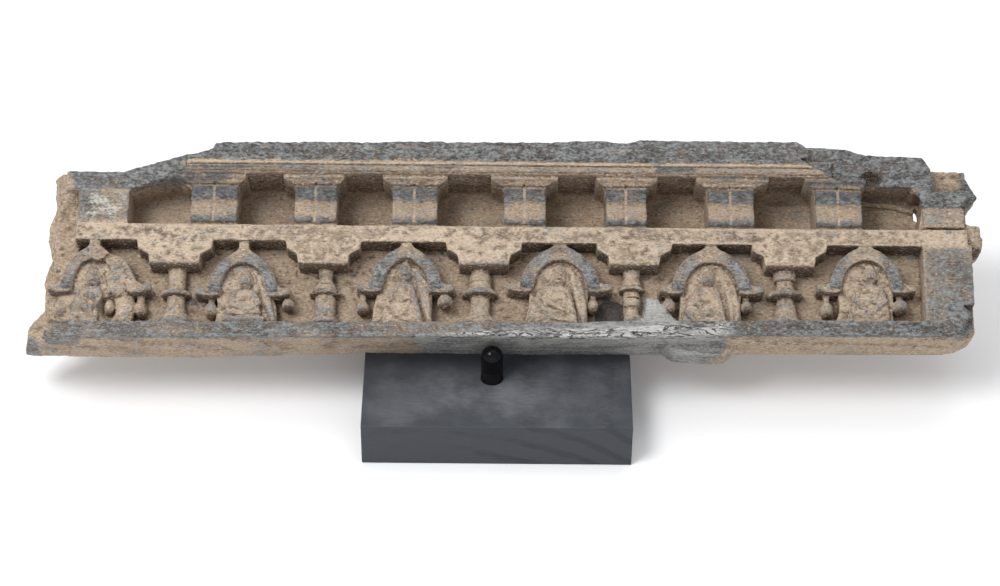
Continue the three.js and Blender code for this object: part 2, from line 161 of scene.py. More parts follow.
def block(u0, u1, v0, v1, start, end, edge=0.35):
    return slab(corners(u0, u1, v0, v1), start, end, edge)


def moulding(profile, u0, u1, edge=0.25):
    """A side profile of (w, v) points run along the panel."""
    ws, vs = zip(*profile)

    def distance(u, v, w):
        deep = np.abs(u - (u0 + u1) / 2) - (u1 - u0) / 2
        return carried(outline_distance(w, v, profile), deep, edge)

    return (u0, min(vs), min(ws)), (u1, max(vs), max(ws)), distance


def shared(one, other):
    """What two shapes have in common."""
    low = tuple(map(max, one[0], other[0]))
    high = tuple(map(min, one[1], other[1]))
    return low, high, lambda u, v, w: np.maximum(one[2](u, v, w), other[2](u, v, w))


def ribbon(line, widths):
    """The outline of a strip along a line of points, with a half width at each."""
    one, other = [], []
    for i, ((u, v), width) in enumerate(zip(line, widths)):
        (u0, v0), (u1, v1) = line[max(i - 1, 0)], line[min(i + 1, len(line) - 1)]
        length = math.hypot(u1 - u0, v1 - v0)
        across = ((v0 - v1) / length * width, (u1 - u0) / length * width)
        one.append((u + across[0], v + across[1]))
        other.append((u - across[0], v - across[1]))
    return one + other[::-1]


def ball(u0, v0, w0, ru, rv, rw):
    def distance(u, v, w):
        x, y, z = (u - u0) / ru, (v - v0) / rv, (w - w0) / rw
        near = np.sqrt(x * x + y * y + z * z) + 1e-6
        slope = np.sqrt((x / ru) ** 2 + (y / rv) ** 2 + (z / rw) ** 2) + 1e-6
        return near * (near - 1) / slope

    return (u0 - ru, v0 - rv, w0 - rw), (u0 + ru, v0 + rv, w0 + rw), distance


def limb(a, b, ra, rb=None):
    """A round bar from a to b whose radius runs from ra to rb."""
    rb = ra if rb is None else rb
    a, b = np.array(a, np.float32), np.array(b, np.float32)
    line = b - a
    length = float(line @ line)

    def distance(u, v, w):
        pu, pv, pw = u - a[0], v - a[1], w - a[2]
        along = np.clip((pu * line[0] + pv * line[1] + pw * line[2]) / length, 0, 1)
        away = np.sqrt((pu - line[0] * along) ** 2 + (pv - line[1] * along) ** 2
                       + (pw - line[2] * along) ** 2)
        return away - (ra + (rb - ra) * along)

    size = max(ra, rb)
    return np.minimum(a, b) - size, np.maximum(a, b) + size, distance


def turned(u0, w0, bottom, top, below, above):
    """A tier of a little column, turned about an upright axis, from one radius to another."""
    profile = [(-1.0, bottom), (below, bottom), (above, top), (-1.0, top)]
    size = max(below, above)

    def distance(u, v, w):
        return outline_distance(np.hypot(u - u0, w - w0), v, profile)

    return (u0 - size, bottom, w0 - size), (u0 + size, top, w0 + size), distance


def oval(u0, v0, ru, rv, start, end, edge=0.8, sides=20):
    turn = [2 * math.pi * i / sides for i in range(sides)]
    points = [(u0 + ru * math.cos(t), v0 + rv * math.sin(t)) for t in turn]
    return slab(points, start, end, edge)


LUMP_GAIN = 2.4  # brings the smoothed values back to about -1 to 1


def lumps(axes, size, seed):
    """Smooth noise over the grid, about -1 to 1, with lumps of the given size along u, v, w."""
    weights = []
    for axis, length in zip(axes, size):
        place = (axis - axis[0]) / length
        knots = np.arange(int(place[-1]) + 4)
        t = np.abs(place[:, None] + 1 - knots)
        inner = 2 / 3 - t * t + t ** 3 / 2
        outer = (2 - t) ** 3 / 6
        weights.append(np.where(t < 1, inner, np.where(t < 2, outer, 0)).astype(np.float32))
    values = np.random.default_rng(seed).uniform(-1, 1, [w.shape[1] for w in weights])
    values = values.astype(np.float32)
    for weight in weights:
        values = np.tensordot(values, weight, axes=(0, 1))
    return values * LUMP_GAIN


def spread(values, cells):
    """Each value averaged with its neighbours this many cells either way."""
    for axis in range(3):
        moved = np.moveaxis(values, axis, 0)
        padded = np.concatenate([moved[:1]] * (cells + 1) + [moved] + [moved[-1:]] * cells)
        total = np.cumsum(padded, axis=0, dtype=np.float32)
        width = 2 * cells + 1
        moved = (total[width:] - total[:-width]) / width
        values = np.moveaxis(moved, 0, axis)
    return values


stone = Stone((-272, -8, -4), (277, 120, 48), STEP)

# The broken slab itself, and the ground of the arcade.
underside = [(-266.8, -4.5), (-150, -4.2), (-90, -2.4), (75, -2.4), (130, -0.5), (249, -0.6)]
right_break = [(257, 1), (264, 4.2), (267, 8.5), (267, 14), (266, 52), (273, 57), (274, 65), (265, 72),
               (265, 82), (272, 90), (267, 98), (265, 105)]
top_edge = [(244, 105), (240, 110), (205, 111.5), (196, 114), (174, 114.5), (169, 116),
            (80, 116), (72, 114.3), (60, 115.5), (-50, 115), (-140, 114), (-148, 112.3),
            (-160, 112.7), (-165, 110.5), (-200, 100.5), (-212, 98)]
left_break = [(-248.5, 99.2), (-252.6, 95.5), (-250.4, 86), (-250.6, 77), (-254.4, 67),
              (-254.4, 58), (-251.3, 46.5), (-255, 37.5),
              (-255.5, 33), (-254.4, 26.4), (-254.2, 17), (-257.5, 12.5), (-262.5, 8),
              (-266.4, 3)]
stone.add(slab(underside + right_break + top_edge + left_break, 0, SLAB, 0.8), 0)

# The wall round the brackets, broken down at both ends.
stone.add(slab([
    (FIELD_LEFT, BAND_BOTTOM), (268, 56), (270, 64), (261, 71), (261.5, 81), (267, 88),
    (263, 89.5), (246, 88.5), (244, 103), (240, 109.5), (205, 111), (196, 113.5), (174, 114.5),
    (-160, 112.5), (-165, 110), (-200, 100), (-212, 96.5), (-243, 96.5), (-246, 91),
    (-244.5, 85), (FIELD_LEFT, 84)], ROOT, UPPER_WALL, 1.2), 1.0)

# Plain band, lower fillet, right border, broken left margin.
stone.add(block(FIELD_LEFT, 263, BAND_BOTTOM, BAND_TOP, ROOT, FACE, 0.5), 0.3)
stone.add(slab([(-252, -4), (75, -2), (130, 0), (254, 0), (262, 7), (265, 11), (150, 10.5),
                (60, 8.8), (-150, 7.2), (-236, 6.6), (-252, 6)], ROOT, FACE, 0.5), 0.4)
stone.add(block(BORDER_LEFT, RIGHT_END, 8, BAND_BOTTOM + 2, ROOT, FACE, 0.6), 0.5)
stone.add(slab([(-252, 10), (FIELD_LEFT + 1, 8), (FIELD_LEFT + 1, 88), (-243, 92), (-250, 90),
                (-249.5, 80), (-250.5, 62), (-250, 40)], SLAB - 3, 25.5, 1.5), 3.0)
stone.add(ball(-243, 86, 22, 8, 11, 9), 3.0)
stone.add(block(-236, -208, BAND_TOP - 2, 86, UPPER_WALL - 2, FACE, 0.7), 0.8)
stone.add(slab([(-244, 84), (-209, 84), (-203, 86), (-196, 88.5), (-190, 91), (-181, 91.5),
                (-176, 93), (-176, 106), (-200, 99), (-212, 95.5), (-244, 96)],
               UPPER_WALL - 2, 36.5, 1.2), 1.5)
stone.add(block(238.5, 261.5, 65.8, 77.5, UPPER_WALL - 2, FACE, 0.9), 0.5)
stone.add(block(262, 271, 54, 69, ROOT, 32, 2.5), 2.0)

# Cornice: fillet, roll, hollow and a narrow ridge, with a rough broken face above them.
stone.add(moulding([(20, SOFFIT), (41.5, SOFFIT), (41.5, 94.0), (40.5, 94.4), (42.6, 94.8),
                    (CORNICE, 95.5), (CORNICE, 96.6), (42.2, 97.6), (40.4, 98.4), (39.5, 99.0),
                    (40.9, 99.3), (40.9, 100.6), (39.6, 101.2), (39.4, 105.0), (20, 105.0)],
                   -176, 188, 0.15), 0.3)
stone.add(slab([(-165, 104.2), (176, 104.2), (174, 111), (169, 115), (80, 115.3),
                (72, 113.5), (60, 114.7), (-50, 114), (-140, 112.8), (-160, 111.5)],
               20, 39.6, 1.0), 0.4)

# The right end of the cornice broke off along a slant.
stone.cut(slab([(168, 106), (200, 106), (200, 92), (189, 92)], 35.5, CLEAR, 0.3), 0.8)

# Brackets: (left, right, head left, head right). Each has two lobes with a hollow between, a
# groove down the middle and a wider head under the cornice.
BRACKETS = [
    (-173, -146.8, -182, -142), (-114.8, -90.8, -121.5, -86.5), (-60, -34.5, -65.5, -29),
    (3, 26.5, -4.5, 33.5), (60.3, 83.2, 54.5, 89.5), (117.5, 143.5, 111, 152),
    (178, 204.2, 172, 207),
]


def curved(start, end, bulge, steps=5):
    """Points from start to end along a curve that stands out by bulge in w."""
    (w0, v0), (w1, v1) = start, end
    return [(w0 + (w1 - w0) * t + bulge * math.sin(math.pi * t), v0 + (v1 - v0) * t)
            for t in (i / steps for i in range(steps + 1))]


CREASE = 77.4
bracket_profile = ([(24, BAND_TOP - 1), (35.0, BAND_TOP - 1), (35.4, 65.3), (37.4, 65.5)]
                   + curved((37.8, 66.4), (34.6, CREASE), 1.5)
                   + curved((34.8, CREASE + 0.3), (35.2, HEAD_BOTTOM - 0.4), 2.3)
                   + [(24, HEAD_BOTTOM - 0.4)])
head_profile = [(24, 87.8), (36.8, 88.2), (37.0, 89.4), (37.6, 90.4), (38.4, 90.9), (39.8, 91.1),
                (39.8, SOFFIT + 0.6), (24, SOFFIT + 0.6)]
for left, right, head_left, head_right in BRACKETS:
    stone.add(moulding(bracket_profile, left, right), 0.2)
    flare = [(left - 0.5, 87.6), (right + 0.5, 87.6), (right + 1.4, 88.6), (head_right - 0.8, 90.8),
             (head_right + 0.3, 91.2), (head_right + 0.3, SOFFIT + 0.6),
             (head_left - 0.3, SOFFIT + 0.6), (head_left - 0.3, 91.2), (head_left + 0.8, 90.8),
             (left - 1.4, 88.6)]
    stone.add(shared(moulding(head_profile, head_left, head_right), slab(flare, 20, 42)), 0.2)
    middle = (left + right) / 2 - 0.4
    for low_end, high_end in (((65, 37.8), (70.5, 38.2)), ((70.5, 38.2), (CREASE, 35.0)),
                              ((CREASE, 35.0), (83, 37.4)), ((83, 37.4), (HEAD_BOTTOM, 35.5))):
        stone.cut(limb((middle, *low_end), (middle, *high_end), 0.8), 0.2)

# Recesses between the brackets, narrower where the heads spread.
SPLIT_FLOOR = RECESS + 1.5
openings = []
for (_, right, _, head), (left, _, next_head, _) in zip(BRACKETS, BRACKETS[1:]):
    openings.append(slab([
        (right, BAND_TOP), (left, BAND_TOP), (left, 86.2), (left - 1.2, 88.4),
        (next_head + 0.6, 90.4), (next_head, 91.4), (next_head, SOFFIT), (head, SOFFIT),
        (head, 91.4), (head - 0.6, 90.4), (right + 1.2, 88.4), (right, 86.2)],
        RECESS, CLEAR, 0.5))
openings.append(slab([
    (-208, BAND_TOP), (-173, BAND_TOP), (-173.5, 86), (-181, 90.8), (-190, 90.2), (-194, 88.8),
    (-198, 87.6), (-203, 86), (-208, 83.5)], RECESS, CLEAR, 0.6))
openings.append(slab([
    (204.2, BAND_TOP), (236, BAND_TOP), (238, 75), (238, 84), (232, 91), (207, 91),
    (204.2, 87)], SPLIT_FLOOR, CLEAR, 1.5))
for opening in openings:
    stone.cut(opening, 0.3)
stone.cut(block(232, 240, 77, 88, SPLIT_FLOOR, 30, 3), 1.0)
stone.add(limb((206, 88.5, 10.6), (226, 87, 10.8), 1.9, 1.6), 0.8)
stone.add(limb((226, 87, 10.8), (238, 83, 11.2), 1.6), 0.8)
stone.cut(ball(161, 91.5, 12, 13, 4.5, 7), 0.6)
stone.cut(slab([(237.5, 79.5), (238.6, 78.2), (239.8, 80), (239.6, 85), (238.2, 86.6),
                (237.2, 84.5)], -4, 16, 0.3), 0.3)

# Stepped brackets under the band and the little column under each.
COLUMN_OUT = SLAB + 4
LINTELS = [(-181, 0), (-98, 0.4), (-8, 0.8), (76, 1.2), (163, 1.2)]
for centre, lift in LINTELS:
    steps = slab([
        (centre - 13.6, 39 + lift), (centre + 13.6, 39 + lift), (centre + 14.6, 46.2 + lift),
        (centre + 20.6, 49.6 + lift), (centre + 21.5, BAND_BOTTOM + 2),
        (centre - 21.5, BAND_BOTTOM + 2), (centre - 20.6, 49.6 + lift),
        (centre - 14.6, 46.2 + lift)], ROOT, FACE, 0.5)
    worn_foot = moulding([
        (19, 40 + lift), (33.6, 40 + lift), (35.2, 40.7 + lift), (FACE, 42 + lift),
        (FACE, BAND_BOTTOM + 2), (19, BAND_BOTTOM + 2)], centre - 23, centre + 23)
    stone.add(shared(steps, worn_foot), 0.2)

# Tiers from the foot up: (bottom, top, radius below, radius above).
COLUMNS = [
    (-180, [(7, 9.5, 12, 11.5), (9.5, 13, 10, 8), (13, 17.5, 6.6, 5.4), (17.5, 24, 5.2, 5.0),
            (23.8, 25.2, 8.3, 8.8), (25.2, 26.8, 8.8, 8.2), (26.8, 42.5, 5.2, 5.4)]),
    (-96.5, [(8, 10, 9.4, 9), (10, 12.6, 8.2, 6.4), (12.6, 25, 6.0, 5.8), (25, 26.2, 8.4, 9.6),
             (26.2, 27.6, 9.6, 8.6), (27.6, 31.4, 6.9, 5.8), (31.4, 36, 5.4, 3.4),
             (36, 42.5, 3.9, 4.6)]),
    (-10, [(8, 10.5, 11, 10.5), (10.5, 13, 9.4, 8.8), (13, 16, 7.2, 5.8), (16, 26, 5.4, 5.5),
           (25.4, 26.6, 9.6, 10.8), (26.6, 30, 10.8, 6.8), (30, 34.2, 6.8, 5.4),
           (34.2, 38, 6.3, 5.9), (38, 42.5, 5.3, 4.8)]),
    (74.8, [(10, 12.4, 6.8, 6.2), (12.4, 15, 5.4, 5.6), (15, 20, 4.2, 3.8), (20, 25, 4.6, 5.4),
            (25, 29, 5.3, 4.4), (29, 31.5, 7.8, 7.0), (31.5, 37, 6.2, 4.6), (37, 43, 4.6, 5.4)]),
    (160.8, [(9, 11, 10.6, 10.2), (11, 13.5, 8.8, 8), (13.5, 26, 7.2, 4.6),
             (25.6, 27, 9.6, 10.8), (27, 29.2, 10.8, 9.2), (29.2, 33, 5.8, 5.2),
             (33, 35.6, 4.8, 5.4), (35.6, 42.8, 6.3, 6.5)]),
]
for centre, tiers in COLUMNS:
    for tier in tiers:
        stone.add(turned(centre, COLUMN_OUT, *tier), 0.4)

# Arches: bands with rolled feet, a stem up to the band, and hanging buds. Each has its centre,
# crown, reach, band width, how far its right foot stands out, and the sides that are left.
ARCH_RISE = 23
ARCHES = [
    (-226, 49.5, 18, 6.2, 25.5, (-1,)), (-142.4, 48.0, 19.4, 6.6, 19.4, (-1, 1)),
    (-51.5, 51, 20, 7.2, 20, (-1, 1)), (34.5, 52, 22, 7.4, 22, (-1, 1)),
    (119, 51.5, 22, 7.2, 22, (-1, 1)), (205.5, 53, 20.5, 6.8, 20.5, (-1, 1)),
]


def arch_side(centre, crown, reach, width, side, steps=9):
    """Half of an arch as a band between two quarter curves, lightly pointed at the crown."""
    foot = crown - ARCH_RISE
    outer, inner = [], []
    for i in range(steps + 1):
        turn = math.pi / 2 * i / steps
        tip = 1 + 0.06 * math.sin(turn) ** 8
        bow = math.cos(turn) if i < steps else -0.02
        outer.append((centre + side * reach * bow, foot + ARCH_RISE * math.sin(turn) * tip))
        inner.append((centre + side * (reach - width) * bow,
                      foot + (ARCH_RISE - width) * math.sin(turn)))
    return outer + inner[::-1]


# The rolled foot: points across from the arch's centre beyond its reach, and up from its foot.
SCROLL = [(-7, 3.4), (-0.6, 4.6), (2.4, 2.4), (5.0, 2.6), (7.0, 1.6), (7.0, -1.0), (3.4, -2.4),
          (-3, -2.8), (-6.4, -2.0)]
for centre, crown, reach, width, right_reach, sides in ARCHES:
    foot = crown - ARCH_RISE
    for side in sides:
        stone.add(slab(arch_side(centre, crown, reach, width, side), ROOT, ARCH_FACE, 0.9), 0.2)
    stem = [(9.5, -3.6), (6.2, -0.8), (4.2, 0.8), (3.0, 2.6), (2.8, 6.5)]
    stone.add(slab(
        [(centre + across, crown + up) for across, up in stem]
        + [(centre - across, crown + up) for across, up in stem[::-1]],
        ROOT, ARCH_FACE, 0.7), 0.8)
    for side, out in ((-1, reach), (1, right_reach)):
        scroll = [(centre + side * (out + across), foot + up) for across, up in SCROLL]
        stone.add(slab(scroll, ROOT, ARCH_FACE - 1.0, 1.2), 0.6)
        curl = centre + side * (out + 5.2)
        stone.add(limb((curl, foot + 0.2, SLAB), (curl, foot + 0.2, ARCH_FACE - 2.4), 2.5, 2.2), 0.6)
# Worn lozenge at the end arch's crown.
stone.add(slab([(-229.5, 48.5), (-228, 44.2), (-224, 41.2), (-220, 43.8), (-218.6, 47.5),
                (-221.5, 50.5), (-228, 50.8)], ROOT, ARCH_FACE + 0.9, 1.4), 0.8)

# Buds: (u, v, half width, half height, how far out).
BUDS = [
    (-244, 15.5, 4.0, 5.6, 7), (-160, 15.5, 3.6, 4.9, 8), (-117, 19, 3.7, 3.7, 8),
    (-75.5, 18, 3.8, 4.0, 7), (-29.5, 21.5, 4.2, 4.2, 9), (53, 20, 3.6, 4.6, 6),
    (95.5, 20.5, 3.8, 4.6, 7), (138.5, 19.5, 3.2, 3.6, 9), (183.5, 18.5, 3.7, 4.8, 8),
    (224.5, 20.5, 4.5, 4.5, 9), (-199.5, 16.5, 3.6, 5.0, 5),
]
for u, v, across, high, out in BUDS:
    stone.add(ball(u, v, SLAB + out - 2, across, high, 6.5), 0.8)
    stone.add(limb((u, v + high + 3.5, SLAB + 6), (u, v, SLAB + 4), 2.0), 1.0)

# Niches: each arch frames a raised ground that leans back a little: (left foot, left waist,
# right foot).
NICHES = [(-246, -245.4, -204), (-157.5, -156.5, -123), (-70.5, -69.5, -36.5),
          (13.4, 17.0, 50.2), (100.6, 101.4, 136), (186, 190.6, 221)]
GROUND_FOOT = 28.5
GROUND_CROWN = 31.6
niche_slope = [(19, 6), (GROUND_FOOT, 6), (GROUND_CROWN, 47), (19, 47)]
for (left, waist, right), (centre, crown, reach, width, _, _) in zip(NICHES, ARCHES):
    foot = crown - ARCH_RISE
    inner = reach - width + 2
    bell = [(left, 6), (right, 6), (right - 0.6, 18), (centre + inner, foot + 2),
            (centre + inner - 1, foot + 8), (centre + 7, crown - 6), (centre, crown - 4),
            (centre - 7, crown - 6), (centre - inner + 1, foot + 8), (centre - inner, foot + 2),
            (waist, 18)]
    stone.add(shared(slab(bell, 18, 40, 0.8), moulding(niche_slope, left - 1, right + 1)), 0.4)

FIGURE_FOOT = 31.4
FIGURE_HEAD = 34.2


def figure_level(v, above):
    """How far out the figures' surface lies at a height, plus so much more."""
    return FIGURE_FOOT + (FIGURE_HEAD - FIGURE_FOOT) * (v - 9) / 28 + above


def head(u, v):
    """A small head with a topknot, brow, nose and closed lids."""
    out = figure_level(v, -3.2)
    stone.add(ball(u, v, out, 4.2, 5.2, 4.6), 0.3)
    stone.add(ball(u, v + 5.0, out - 0.8, 2.6, 1.9, 3.2), 0.5)
    front = out + 4.3
    stone.add(limb((u, v + 1.2, front - 0.5), (u, v - 0.9, front), 0.5, 0.7), 0.3)
    for side in (-1, 1):
        stone.cut(ball(u + side * 1.8, v + 0.6, front - 0.1, 1.0, 0.6, 0.8), 0.3)
        stone.add(ball(u + side * 4.2, v - 0.5, out, 0.8, 2.1, 1.4), 0.4)
    stone.cut(ball(u, v - 2.4, front - 0.6, 1.2, 0.4, 0.6), 0.2)
    stone.add(limb((u, v - 4.4, out - 0.5), (u, v - 7, out - 1), 2.4, 3.0), 0.5)


def figure(head_at, robe, folds, seat=None):
    """A seated body, worn low, from its outline, the lines of its folds and where its head is.

    A seat is (left, right, top), for where one shows.
    """
    us, vs = zip(*robe)
    front = [(18, min(vs)), (figure_level(min(vs), 0), min(vs)),
             (figure_level(max(vs), 0), max(vs)), (18, max(vs))]
    stone.add(shared(slab(robe, 18, 40, 1.4), moulding(front, min(us), max(us))), 1.0)
    for line in folds:
        for (u0, v0), (u1, v1) in zip(line, line[1:]):
            start = (u0, v0, figure_level(v0, -0.1))
            stone.add(limb(start, (u1, v1, figure_level(v1, -0.3)), 1.6, 1.1), 0.6)
    u, v = head_at
    stone.cut(ball(u, v + 0.8, figure_level(v, 1.6), 7.0, 7.6, 5.4), 0.6)
    stone.add(oval(u, v + 0.6, 5.8, 6.6, ROOT, GROUND_CROWN - 0.6, 0.5), 0.3)
    head(u, v)
    if seat:
        left, right, top = seat
        stone.add(block(left, right, 6, top, ROOT, 33.4, 0.7), 0.4)


figure((-226.1, 32.6),
       [(-238.5, 6), (-237, 18), (-234.5, 25), (-231, 28), (-226, 29.5), (-222, 27.5),
        (-219.5, 22), (-222.5, 15), (-223, 6)],
       [[(-222.5, 17), (-216.5, 25.5)], [(-234, 24), (-230, 17), (-226, 12)],
        [(-226, 23), (-223, 17)]])
figure((-140.8, 32.0),
       [(-152, 6), (-151, 19), (-148, 24), (-144, 26.8), (-137.5, 26.5), (-133.8, 22),
        (-131.5, 6)],
       [[(-147, 24), (-148.5, 18), (-142, 15.5)], [(-136, 24.5), (-133, 19), (-139, 15)],
        [(-150.5, 13.4), (-142, 13)], [(-133.5, 13.6), (-142, 13.6)]],
       (-153, -130, 11.2))
figure((-51.9, 37.2),
       [(-65, 6), (-63.5, 16), (-60, 24), (-57.5, 30), (-53, 32), (-47.5, 30.5), (-44.8, 22),
        (-42.6, 14), (-40.8, 6)],
       [[(-48.5, 28.5), (-46, 20), (-43.6, 11)], [(-60, 25), (-62, 18)],
        [(-61.5, 18.5), (-54, 13), (-49.5, 20)], [(-58, 28), (-55, 21)], [(-57, 13), (-50, 9.8)]])
figure((34.3, 35.8),
       [(15.5, 6), (17.5, 16), (21, 24), (23, 28.5), (28, 30.5), (38, 30), (40.6, 26.5),
        (43, 18), (45.6, 6)],
       [[(39.4, 27), (44.6, 10)], [(24, 27), (28, 20), (37, 16.5), (37.5, 24)],
        [(22, 20), (30, 12), (40, 10.5)]])
figure((116.8, 35.6),
       [(102, 6), (103.5, 16), (107, 24), (110.5, 29), (115, 31), (121, 30.5), (123.2, 25),
        (126, 16), (128.2, 6)],
       [[(121.3, 29), (127.2, 11)], [(112, 28), (110, 21), (117, 15), (120.5, 21)],
        [(104.5, 16), (110, 10.5)]])
figure((207.7, 37.8),
       [(194.5, 6), (196.5, 18), (199, 26), (203, 31.5), (207.7, 33), (212.5, 31.5), (216, 26),
        (218, 18), (218.5, 6)],
       [[(201.5, 30), (199, 23), (205.5, 17.5)], [(213.5, 30), (216, 23), (209, 17)],
        [(199.5, 12.5), (208, 10.5)], [(216, 12.5), (208, 10.6)]])

# A smooth swelling fills the right side of four niches, behind a groove along the figure's edge:
# the line and half widths of the swelling, then the two ends of the groove.
SWELLINGS = [
    ([(-136, 38), (-131.5, 30), (-128.5, 20), (-124.6, 8)], (0.6, 2.0, 2.2, 1.2),
     (-132, 20), (-126.8, 7.5)),
    ([(-46.5, 40), (-42.5, 32), (-40, 20), (-38, 8)], (0.6, 2.6, 2.6, 1.2),
     (-45.2, 24), (-39.9, 7.5)),
    ([(40, 41), (44, 32), (46.5, 20), (48.6, 8)], (0.6, 2.8, 3.0, 1.2), (40.2, 28), (46, 7.5)),
    ([(124, 41), (129, 32), (131.5, 20), (132.5, 8)], (0.8, 3.2, 3.4, 2.4), (122.8, 33), (128.6, 8)),
]
for line, widths, top, bottom in SWELLINGS:
    stone.add(slab(ribbon(line, widths), SLAB, 32.6, 1.4), 1.4)
    stone.cut(limb((*top, figure_level(top[1], 0.3)), (*bottom, figure_level(bottom[1], -0.2)),
                   0.5, 1.25), 0.5)

# The end niche lost its right side: a smooth lens of ground is left there, with a pit below it.
stone.add(slab([(-222, 47.5), (-214, 46.5), (-207, 41.5), (-203, 34), (-201.5, 30), (-208, 29.5),
                (-213, 33), (-218, 40)], ROOT, 33.2, 0.5), 0.4)
stone.cut(ball(-217.2, 15.3, 32, 5.4, 7.8, 8.0), 0.6)
stone.add(ball(-216.8, 17, 27, 2.8, 4.8, 4.6), 0.6)
stone.add(ball(-212.6, 31, 30.6, 5.5, 9, 3.4), 1.5)
stone.add(ball(-208, 17, 26.0, 5, 11, 4.5), 2.5)

# Losses: the front of the fillet's left end, the end niche's pit, chips and short cracks.
stone.cut(slab([(-270, -6), (-247, -6), (-247.5, 9.2), (-270, 9.2)], 33.6, 40, 0.6), 0.6)
stone.cut(slab([(-270, -6), (-259, -6), (-255, 2), (-253, 9.2), (-270, 12)], 22, 40, 1.0), 1.5)
stone.cut(slab([(258.5, 20), (263, 16), (261, 9), (257, 4), (255, -2), (275, -2), (275, 20)],
               30, CLEAR, 1.0), 1.5)
stone.cut(ball(266, 8, 34, 7, 6, 9), 1.5)
stone.cut(ball(210.5, 95.5, 34.0, 6.0, 4.4, 9.0), 0.6)
stone.cut(ball(214, 99.2, 35, 4.4, 2.4, 3.4), 0.6)
stone.cut(ball(63, 18, SLAB + 1, 9, 8, 3.0), 2.0)
CRACKS = [((-51, 61.6, 36.4), (-45.5, 61.4, 36.4)), ((-122, 62.2, 36.2), (-119, 61.6, 36.2)),
          ((114, 3.2, 36.3), (115, 6.8, 36.3)), ((122, 2.8, 36.3), (121.5, 5.4, 36.3)),
          ((208, 82, 9.8), (237, 78, 9.8)), ((150, 86.5, 8.5), (172, 84, 8.5))]
for start, end in CRACKS:
    stone.cut(limb(start, end, 0.6), 0.4)

# Cement of the old repair: a lump under the foot, a crust over the fillet and a smooth fill.
stone.add(slab([(81, 9), (100, 9), (99, 14), (93, 17), (90, 25), (83, 26)], ROOT, SLAB + 6, 1.5), 2.5)
for u, v, across in ((45, 4, 12), (62, 6, 11), (78, 8, 10), (92, 7, 9), (101, 5.5, 7), (8, 2, 9)):
    stone.add(ball(u, v, FACE - 0.9, across, 3.2, 1.7), 1.2)


def planed(points, low, high):
    """Everything inside an outline in u and w, whatever the height."""
    return low, high, lambda u, v, w: outline_distance(u, w, points) + 0 * v


# The back wears thinner towards the right end, and the left end runs back at a slant. The
# underside falls from the front to the back, except over the stand: place along the panel,
# height of the front edge, height of the back edge.
stone.cut(planed([(60, 0), (60, -9), (290, -9), (290, 3.5)], (60, -10, -9), (290, 130, 5)), 1.0)
stone.cut(planed([(-280, 1), (-266.8, 1), (-262.3, 21), (-259, 40), (-280, 40)],
                 (-280, -10, -2), (-250, 12, 42)), 1.0)
UNDERSIDE = [(-267, -2.6, -3.4), (-236, -2.4, -3.6), (-169, -1.8, -3.4), (-90, -1.3, -0.8),
             (-78, -1.2, 0), (-20, -0.6, 0), (-12, 0, 0), (12, 0, 0), (20, -0.6, 0),
             (75, -0.3, 0), (90, 0.4, 0.3), (131, 1.7, 0.6), (204, 2.2, 0.8), (250, 2.4, 0.8),
             (258, 4.0, 2.0), (270, 9.0, 8.0)]


def below_stone(u, v, w):
    along, front_edge, back_edge = np.transpose(UNDERSIDE)
    front_edge = np.interp(u, along, front_edge)
    back_edge = np.interp(u, along, back_edge)
    return v - back_edge - (front_edge - back_edge) * w / FACE


stone.cut(((-280, -10, -9), (280, 12, 50), below_stone), 0.8)
stone.add(slab([(90, 2), (95, -2.5), (99, -4.8), (107, -5.4), (118, -5.8), (127, -5.0), (131, -2),
                (134, 2)], 2, 20, 2.0), 1.5)

# Weathering: arrises crumble unevenly, then the whole surface gets lumps, and long streaks
# along the layers of the schist, stronger where the stone is broken.
crumble = lumps(stone.axes, (7, 5, 5), 3) + 0.6 * lumps(stone.axes, (2.6, 2.0, 2.0), 4)
softened = spread(spread(stone.far, 1), 1)
stone.far = np.maximum(stone.far, softened - (0.30 + 0.20 * np.clip(crumble, -1.1, 2)))
softened = spread(spread(stone.far, 3), 2)
chipped = 1.10 - 1.1 * np.clip(crumble - 0.85, 0, 0.8)
stone.far = np.maximum(stone.far, softened - chipped)
del softened, chipped
U, V = stone.axes[0][:, None], stone.axes[1][None, :]
broken = rise(V, 101.2, 1.0)
cornice_end = [(167, 108), (212, 108), (212, 91.5), (190, 91.5)]
for bare in (np.clip(0.5 - outline_distance(U, V, cornice_end) / 2, 0, 1),
             rise(U, 205, 6) * rise(V, 91, 3), rise(U, 238, 3) * rise(V, 78, 2),
             rise(-U, 177, 4) * rise(V, 88, 4), rise(-U, 242, 3) * 0.5):
    broken = np.maximum(broken, bare)
broken = broken[:, :, None].astype(np.float32)
streaks = lumps(stone.axes, (22, 1.7, 1.9), 5)
grains = lumps(stone.axes, (1.6, 1.3, 1.3), 6)
swell = lumps(stone.axes, (16, 9, 9), 7)
stone.far += (0.08 + 0.22 * broken) * streaks + (0.15 + 0.20 * broken) * grains
stone.far += (0.13 + 0.22 * broken) * swell + 0.06
del streaks, grains, swell, crumble


